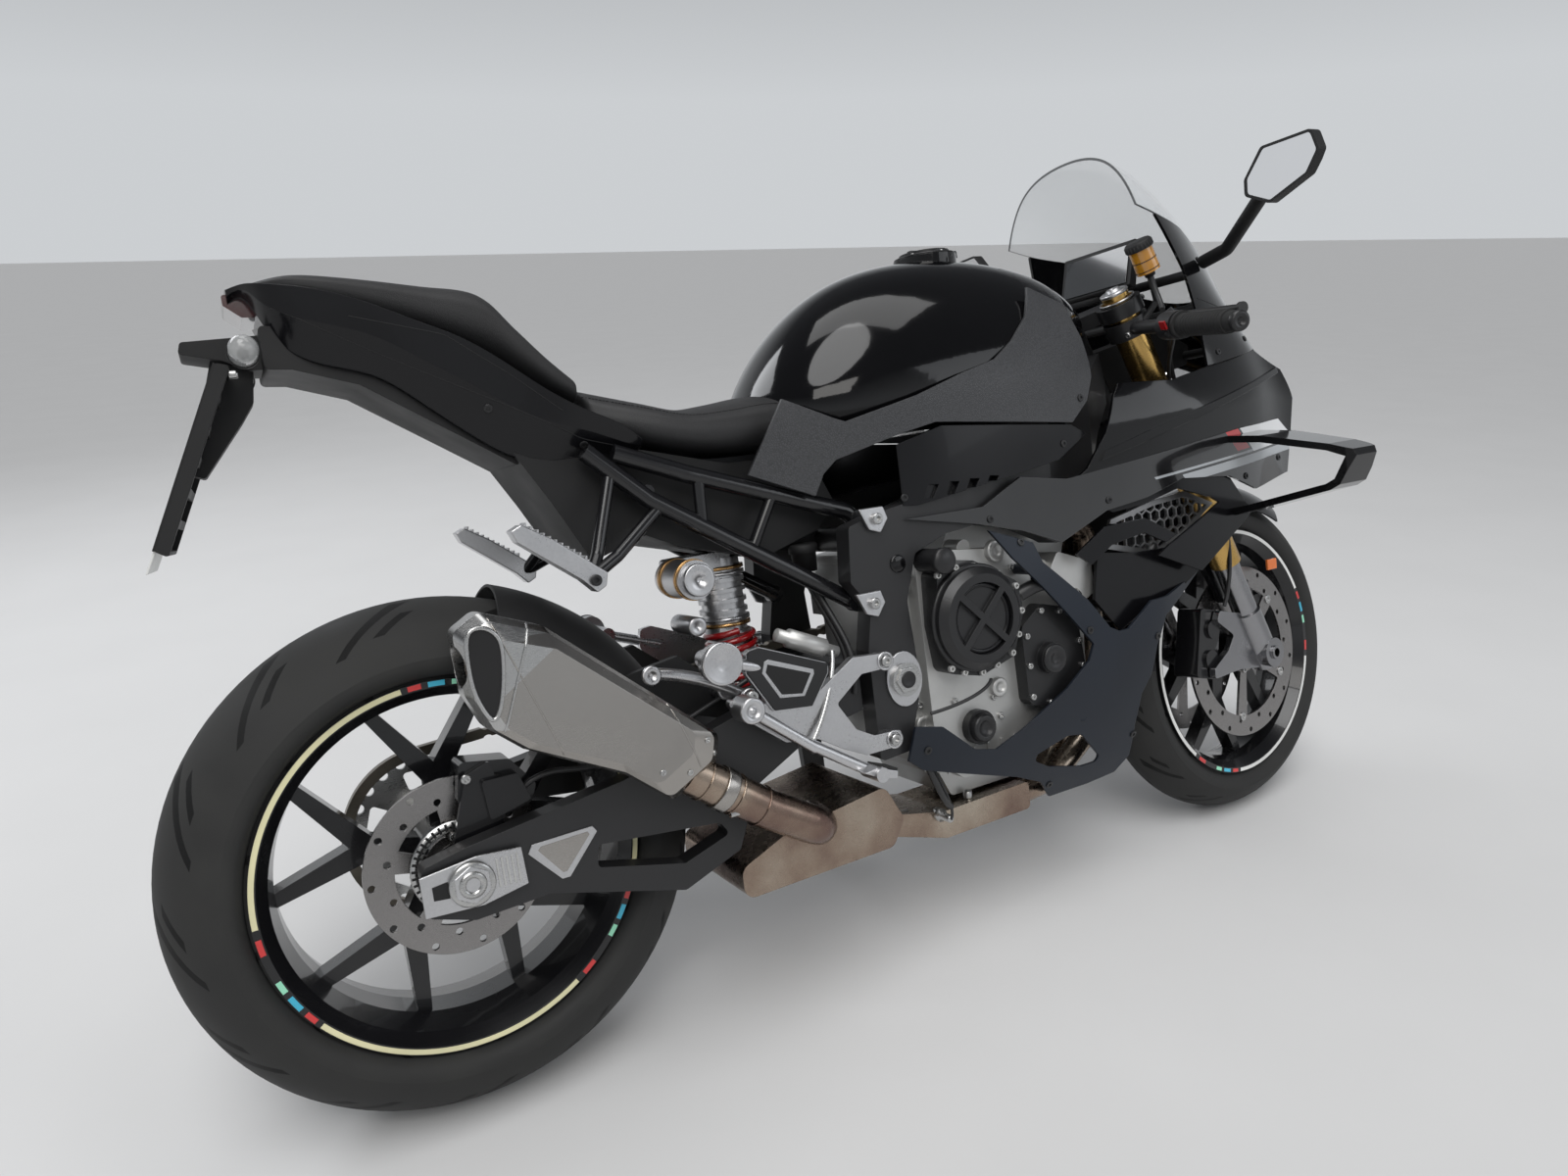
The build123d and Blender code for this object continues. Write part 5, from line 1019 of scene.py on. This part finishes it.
def feet_detail():
    """Peg discs, heel guards, screws, pedal rubbers and the passenger pegs."""
    plates = (
        ("heel_guard", 196.4, 2.2, black_cast, 0.8,
         [(371, 529), (388, 531), (485, 491), (483, 479), (454, 440), (399, 446), (367, 501)]),
        ("heel_window_edge", 198.2, 1.0, machined, 0.4,
         [(392, 512), (398, 514), (462, 488), (462, 482), (444, 456), (408, 461), (387, 498)]),
        # The black heel window plate is painted shade filling the opening in the heel guard
        ("heel_window", 198.9, 0.6, matt_black, 0.2,
         [(396, 508), (457, 484), (441, 460), (411, 465), (392, 498)]))
    toe = [(496, 345), (524, 331), (546, 326), (548, 336), (516, 348)]
    peg = [(197, 635), (181, 652), (111, 708), (105, 722), (118, 728), (151, 707), (213, 657), (209, 641)]
    for tag, side in SIDES:
        out = LEFT * side
        disc_stack(f"peg_disc_{tag}", bike(306.5, side * 261.8, 534), out,
                   [(0, 26), (2.5, 26), (4, 24), (3, 22), (3.6, 17), (2.8, 15), (3.4, 10), (2.6, 8),
                    (2.6, 0)], machined)
        disc_stack(f"pivot_disc_{tag}", bike(358, side * 216.2, 458), out,
                   [(0, 17), (3, 17), (4.4, 15), (4.4, 9), (2, 8), (2, 4), (4, 3.5), (4, 0)], machined)
        for name, y, thickness, mat, bevel, outline in plates:
            slab(f"{name}_{tag}", placed(outline, side * y), out, thickness, mat, bevel)
        places = placed([*HANGER_BOLTS, (372, 470)], side * 190.2)
        bolts(f"hanger_bolts_{tag}", [(place, out, 8, 6) for place in places])
        for k, place in enumerate(placed(HANGER_BOLTS, side * 190.8)):
            sleeve(f"hanger_ring_{tag}_{k}", place, out, 0.8, 9.5, 13, machined, steps=40)
        slab(f"pedal_toe_{tag}", placed(toe, side * 206), out, 34, machined, 1.5)
        tooth = [(520, 347), (548, 336), (549, 339), (521, 350)]
        starts = [side * (209 + k * 4.4) for k in range(7)]
        joined_mesh(f"pedal_teeth_{tag}", [bar(tooth, y, y + 2 * side) for y in starts], grip_rubber)
        slab(f"passenger_peg_{tag}", placed(peg, side * 149.4), out, 25.2, machined, 1.6)
        teeth = []
        for k in range(11):
            x, z = 190 - 73 * k / 11, 676 + 53.5 * k / 11
            corners = [(x, z - 2), (x - 3, z + 0.5), (x - 0.5, z + 5), (x + 1, z + 4.6)]
            teeth.append(bar(corners, side * 151, side * 173))
        joined_mesh(f"passenger_peg_teeth_{tag}", teeth, machined)
        bolts(f"passenger_peg_pin_{tag}", [(bike(196, side * 174.8, 650), out, 7, 5)], black_cast)


def bar_line(side):
    """Tip of one handlebar and its outward direction."""
    tip = fork(-112, side * 362, 668)
    return tip, (tip - fork(-14, side * 125, 668)).normalized()


def cockpit_detail():
    """Fork caps, head nut, switches, bar ends, grip ribs, reservoir cap, cables, display and fuel cap."""
    for tag, side in SIDES:
        disc_stack(f"fork_cap_{tag}", fork(0, side * FORK_HALF, 727), HEAD,
                   [(0, 22), (2, 23), (5, 23), (6, 20), (6, 12), (10, 11), (10, 6), (8, 5), (8, 0)], machined,
                   "steering")
        sleeve(f"fork_ring_{tag}", fork(0, side * FORK_HALF, 717), HEAD, 2, 27, 29, steel, "steering")
        places = [(fork(-30, side * 126, 664), -AHEAD, 5, 6), (fork(30, side * 126, 702), AHEAD, 5, 6)]
        bolts(f"clamp_bolts_{tag}", places, body="steering")
        tip, along = bar_line(side)
        disc_stack(f"bar_end_{tag}", fork(-117.4, side * 375, 668), along,
                   [(-4, 15.2), (3, 14.6), (4.5, 12), (4.5, 6), (1, 5.4), (1, 0)], black_cast, "steering")
        for k in range(14):
            turned(f"grip_rib_{tag}_{k}", tip - along * (0.016 + k * 0.0066), along,
                   [(-1.1, 16.8), (-0.7, 17.8), (0.7, 17.8), (1.1, 16.8)], grip_rubber, "steering", 40)
    tip, along = bar_line(-1)
    housing = tip - along * 0.142
    corners = ((0.004, -0.008), (0.018, -0.008), (0.018, 0.008), (0.004, 0.008))
    switch = [housing - AHEAD * 0.022 + HEAD * up + along * aside for up, aside in corners]
    slab("kill_switch", switch, -AHEAD, 4, red_plastic, 1.2, "steering")
    disc_stack("start_button", housing - AHEAD * 0.021 - HEAD * 0.006, -AHEAD,
               [(0, 5), (3, 5), (4, 4), (4, 0)], matt_black, "steering", 32)
    disc_stack("head_nut", fork(-29.3, 0, 726), HEAD, [(0, 18), (3, 18), (5, 16), (5, 8), (2, 7), (2, 0)],
               machined, "steering")
    pot = fork(*POT_FOOT)
    disc_stack("pot_cap", pot + HEAD * 0.0395, HEAD, [(-1, 21.6), (10, 21.6), (12.5, 19), (12.5, 0)],
               matt_black, "steering")
    for k in range(24):
        a = math.radians(15 * k)
        spot = pot + HEAD * 0.04 + (AHEAD * math.cos(a) + AXLE * math.sin(a)) * 0.0216
        disc_stack(f"pot_grip_{k}", spot, HEAD, [(0, 1.1), (8, 1.1), (8, 0)], matt_black, "steering", 8)
    sleeve("pot_line", pot + HEAD * 0.02, HEAD, 0.6, 19, 19.5, matt_black, "steering", 50)
    disc_stack("pot_foot", pot + HEAD * 0.001, HEAD,
               [(-9, 0), (-9, 8), (-3, 9), (0, 17), (3, 19.4), (4, 19.4)], matt_black, "steering")
    line = [pot - HEAD * 0.008, pot - HEAD * 0.03 - AHEAD * 0.004, fork(8, -176, 694), fork(-12, -188, 684)]
    hose("pot_hose", line, 4.6, body="steering")
    line = run((-8, -196, 676), (30, -168, 650), (44, -120, 600), (40, -112, 480), (34, -126, 330),
               (-10, -132, 200), (-70, -124, 150), where=fork)
    hose("brake_line", line, 3.6, body="steering")
    line = run((-46, -226, 672), (-14, -200, 650), (24, -150, 606), (36, -110, 556), (34, -104, 500),
               where=fork)
    hose("throttle_cable", line, 3.2, body="steering")
    slab("display_face", run((1230.4, -74, 990), (1230.4, 74, 990), (1248.2, 74, 1054), (1248.2, -74, 1054)),
         -FORWARD, 1.2, display_glass, 0.4)
    disc_stack("cap_lock", bike(FUEL_CAP_X, 0, 1062.5), UP,
               [(0, 12), (1.2, 12), (1.6, 11), (1.6, 3), (1.0, 2.6), (1.0, 0)], steel, "fuel_cap")
    turned("cap_rim", bike(FUEL_CAP_X, 0, 1055), UP,
           [(-1, 40.5), (-1, 49.5), (1.4, 49), (2.0, 46), (2.0, 40.5)], black_cast, steps=72)
    circle = oval((FUEL_CAP_X, 0), SCREW_RING, SCREW_RING, 60, 30)
    bolts("cap_screws", [(bike(x, y, 1056.6), UP, 2.6, 1.6) for x, y in circle])


# Bodywork and pipes

def body_detail():
    """Fairing screws, seams, indicator bands, reflector, plate strip and bolts, and lamps."""
    for name, node, radius, spots in (
            ("lower_screws", "lower_fairings", 6,
             [(640, 330), (706, 346), (948, 448), (1060, 250), (890, 205), (1096, 410), (842, 600)]),
            ("stripe_screws", "stripe_panels", 5.5,
             [(700, 646), (800, 640), (1010, 640), (1330, 640), (1450, 660)]),
            ("trim_screws", "tank_trims", 5.5, [(560, 745), (985, 800)]),
            ("cover_screws", "frame_covers", 5.5, [(660, 690), (945, 735)]),
            ("tail_screws", "tail_fairing", 5.5, [(232, 815), (120, 870)]),
            ("nose_screws", "nose_fairing", 5, [(1300, 850), (1330, 1010), (1400, 870)])):
        surface_screws(name, node, spots, radius, 2.5)
    seams = (
        ("tail_seam", "tail_fairing", 0.7,
         [(-96, 1000), (-40, 968), (60, 914), (140, 872), (230, 822), (282, 806)]),
        ("tail_seam_low", "tail_fairing", 0.7, [(-20, 985), (80, 958), (150, 906), (216, 850)]),
        ("nose_seam", "nose_fairing", 0.8, [(1275, 940), (1340, 925), (1420, 905), (1500, 850)]))
    for tag, side in SIDES:
        for name, node, radius, outline in seams:
            seam(f"{name}_{tag}", node, outline, radius, side)
        sleeve(f"indicator_band_{tag}", bike(-132, side * 108, 950), LEFT * side, 4, 15, 16.6, matt_black,
               steps=50)
    corners = [(1528, 444), (1554, 444), (1554, 464), (1528, 464)]
    slab("reflector", placed(corners, -76), RIGHT, 5, orange_lens, 1.2, "steering")
    slab("plate_strip", run((-250.6, -88, 752.6), (-250.6, 88, 752.6), (-262, 88, 729), (-262, -88, 729)),
         FORWARD, 2.4, plate_white, 0.5)
    places = [(bike(-148, y, 936), FORWARD, 5, 9) for y in (-50, 50)]
    places += [(bike(-150, y, 906), FORWARD, 4, 16) for y in (-14, 14)]
    bolts("plate_bolts", places)
    for tag, side in SIDES:
        ahead = (FORWARD + LEFT * side * 0.25).normalized()
        for k, (x, y, z) in enumerate(((1452, 66, 828), (1438, 102, 850))):
            spot = bike(x, side * y, z)
            disc_stack(f"lamp_bowl_{tag}_{k}", spot, ahead,
                       [(0, 0), (0, 12), (6, 17), (14, 19), (16, 18), (14, 17), (7, 13), (6, 0)],
                       mirror_silver)
            disc_stack(f"lamp_lens_{tag}_{k}", spot + ahead * 0.008, ahead,
                       [(0, 12), (4, 11), (7, 7), (8, 0)], clear_lens)


def pipe_detail():
    """Welds and clamp of the tail pipe, silencer rivets and seams, box studs and the oxygen sensor."""
    start, end = run((372, -190, 320), (268, -192, 397))
    axis = end - start
    for k, share in enumerate((0.1, 0.42, 0.8)):
        profile = [(-2, 26), (-1, 27.6), (1, 27.6), (2, 26)]
        turned(f"pipe_weld_{k}", start + axis * share, axis, profile, tinted, steps=60)
    middle = start + axis * 0.56
    profile = [(-9, 26), (-9, 28.6), (-7, 29), (7, 29), (9, 28.6), (9, 26)]
    turned("pipe_clamp", middle, axis, profile, can_steel, steps=60)
    bolts("clamp_screw", [(middle + RIGHT * 0.012 - UP * 0.031, FORWARD, 5, 16)])
    rivets = [(300, 418), (262, 404), (226, 414), (290, 438)]
    surface_screws("can_rivets", "silencer", rivets, 4, 2, steel, (-1,))
    for k, x in enumerate((262, 118)):
        spots = [(x - (z - 450) * 0.35, z) for z in range(380, 660, 7)]
        surface_bead(f"can_seam_{k}", "silencer", spots, 1.0, can_steel, lift=0.1)
    for k, (x, y) in enumerate(((640, -100), (760, -100), (640, -20), (760, -20))):
        disc_stack(f"box_stud_{k}", bike(x, y, 214), UP, [(-4, 7), (6, 7), (8, 5), (8, 0)], steel)
    sensor = bike(690, -112, 206)
    disc_stack("oxygen_sensor", sensor, RIGHT, [(0, 10), (12, 10), (14, 6), (34, 6), (36, 4), (36, 0)], steel)
    line = [sensor + RIGHT * 0.035, sensor + RIGHT * 0.05 + UP * 0.02,
            *run((680, -150, 260), (660, -140, 320))]
    hose("sensor_wire", line, 2.2)


# Second materials on nodes

def pot_stalk(place, normal):
    """Whether a face of the reservoir belongs to the stalk under its pot."""
    place = place - fork(*POT_FOOT)
    height = place.dot(HEAD)
    return height < 0.001 or (place - HEAD * height).length > 0.0215


def can_end(place, normal):
    """Whether a face of the silencer lies behind its folded edge."""
    place = place - bike(0, 0, 0)
    (corner_x, corner_z), (foot_x, foot_z) = CAN_CORNER, CAN_FOOT
    share = (place.dot(UP) * 1000 - foot_z) / (corner_z - foot_z)
    return place.dot(FORWARD) * 1000 < foot_x + (corner_x - foot_x) * share


def panel_back(place, normal):
    """Whether a face of a side panel looks inwards."""
    return normal.dot(LEFT) * (place - REAR).dot(LEFT) < 0


def indicator(place, normal):
    """Whether a face of the rear lamps belongs to an indicator."""
    return abs((place - REAR).dot(LEFT)) > 0.1


def lamp_back(place, normal):
    """Whether a face of the rear lamps lies under the tail lamp."""
    return not indicator(place, normal) and (place - bike(-120, 0, 1010)).dot(UP) < -0.03


def can_fold():
    """Bead along the silencer's folded edge."""
    (corner_x, corner_z), (foot_x, foot_z) = CAN_CORNER, CAN_FOOT
    shares = [i / 24 for i in range(25)]
    spots = [(foot_x + (corner_x - foot_x) * s, foot_z + (corner_z - foot_z) * s) for s in shares]
    surface_bead("can_fold", "silencer", spots, 1.6, steel, resolution=3)


def edge_look(node, mat, keep, angle=35):
    """Give a thin solid's edges a material. Its largest smooth regions keep their own."""
    obj = frame["nodes"][node]
    work = bmesh.new()
    work.from_mesh(obj.data)
    limit = math.cos(math.radians(angle))
    seen, regions = set(), []
    for start in work.faces:
        if start.index in seen:
            continue
        seen.add(start.index)
        stack, members, size = [start], [], 0.0
        while stack:
            face = stack.pop()
            members.append(face.index)
            size += face.calc_area()
            for other in (f for edge in face.edges for f in edge.link_faces):
                if other.index not in seen and face.normal.dot(other.normal) > limit:
                    seen.add(other.index)
                    stack.append(other)
        regions.append((size, members))
    work.free()
    regions.sort(reverse=True, key=lambda region: region[0])
    obj.data.materials.append(mat)
    for size, members in regions[keep:]:
        for index in members:
            obj.data.polygons[index].material_index = 1


make_stage()
make_camera()
make_seats()
make_tape()
wheel_bolts()
rear_end()
exhaust_detail()
engine_detail()
frame_detail()
shock_detail()
feet_detail()
cockpit_detail()
body_detail()
pipe_detail()
second_look("reservoir", black_powder, pot_stalk)
second_look("silencer", steel, can_end)
can_fold()
second_look("stripe_panels", matt_black, panel_back)
edge_look("windscreen", screen_edge, 2)
second_look("rear_lamps", clear_lens, indicator)
second_look("rear_lamps", matt_black, lamp_back)
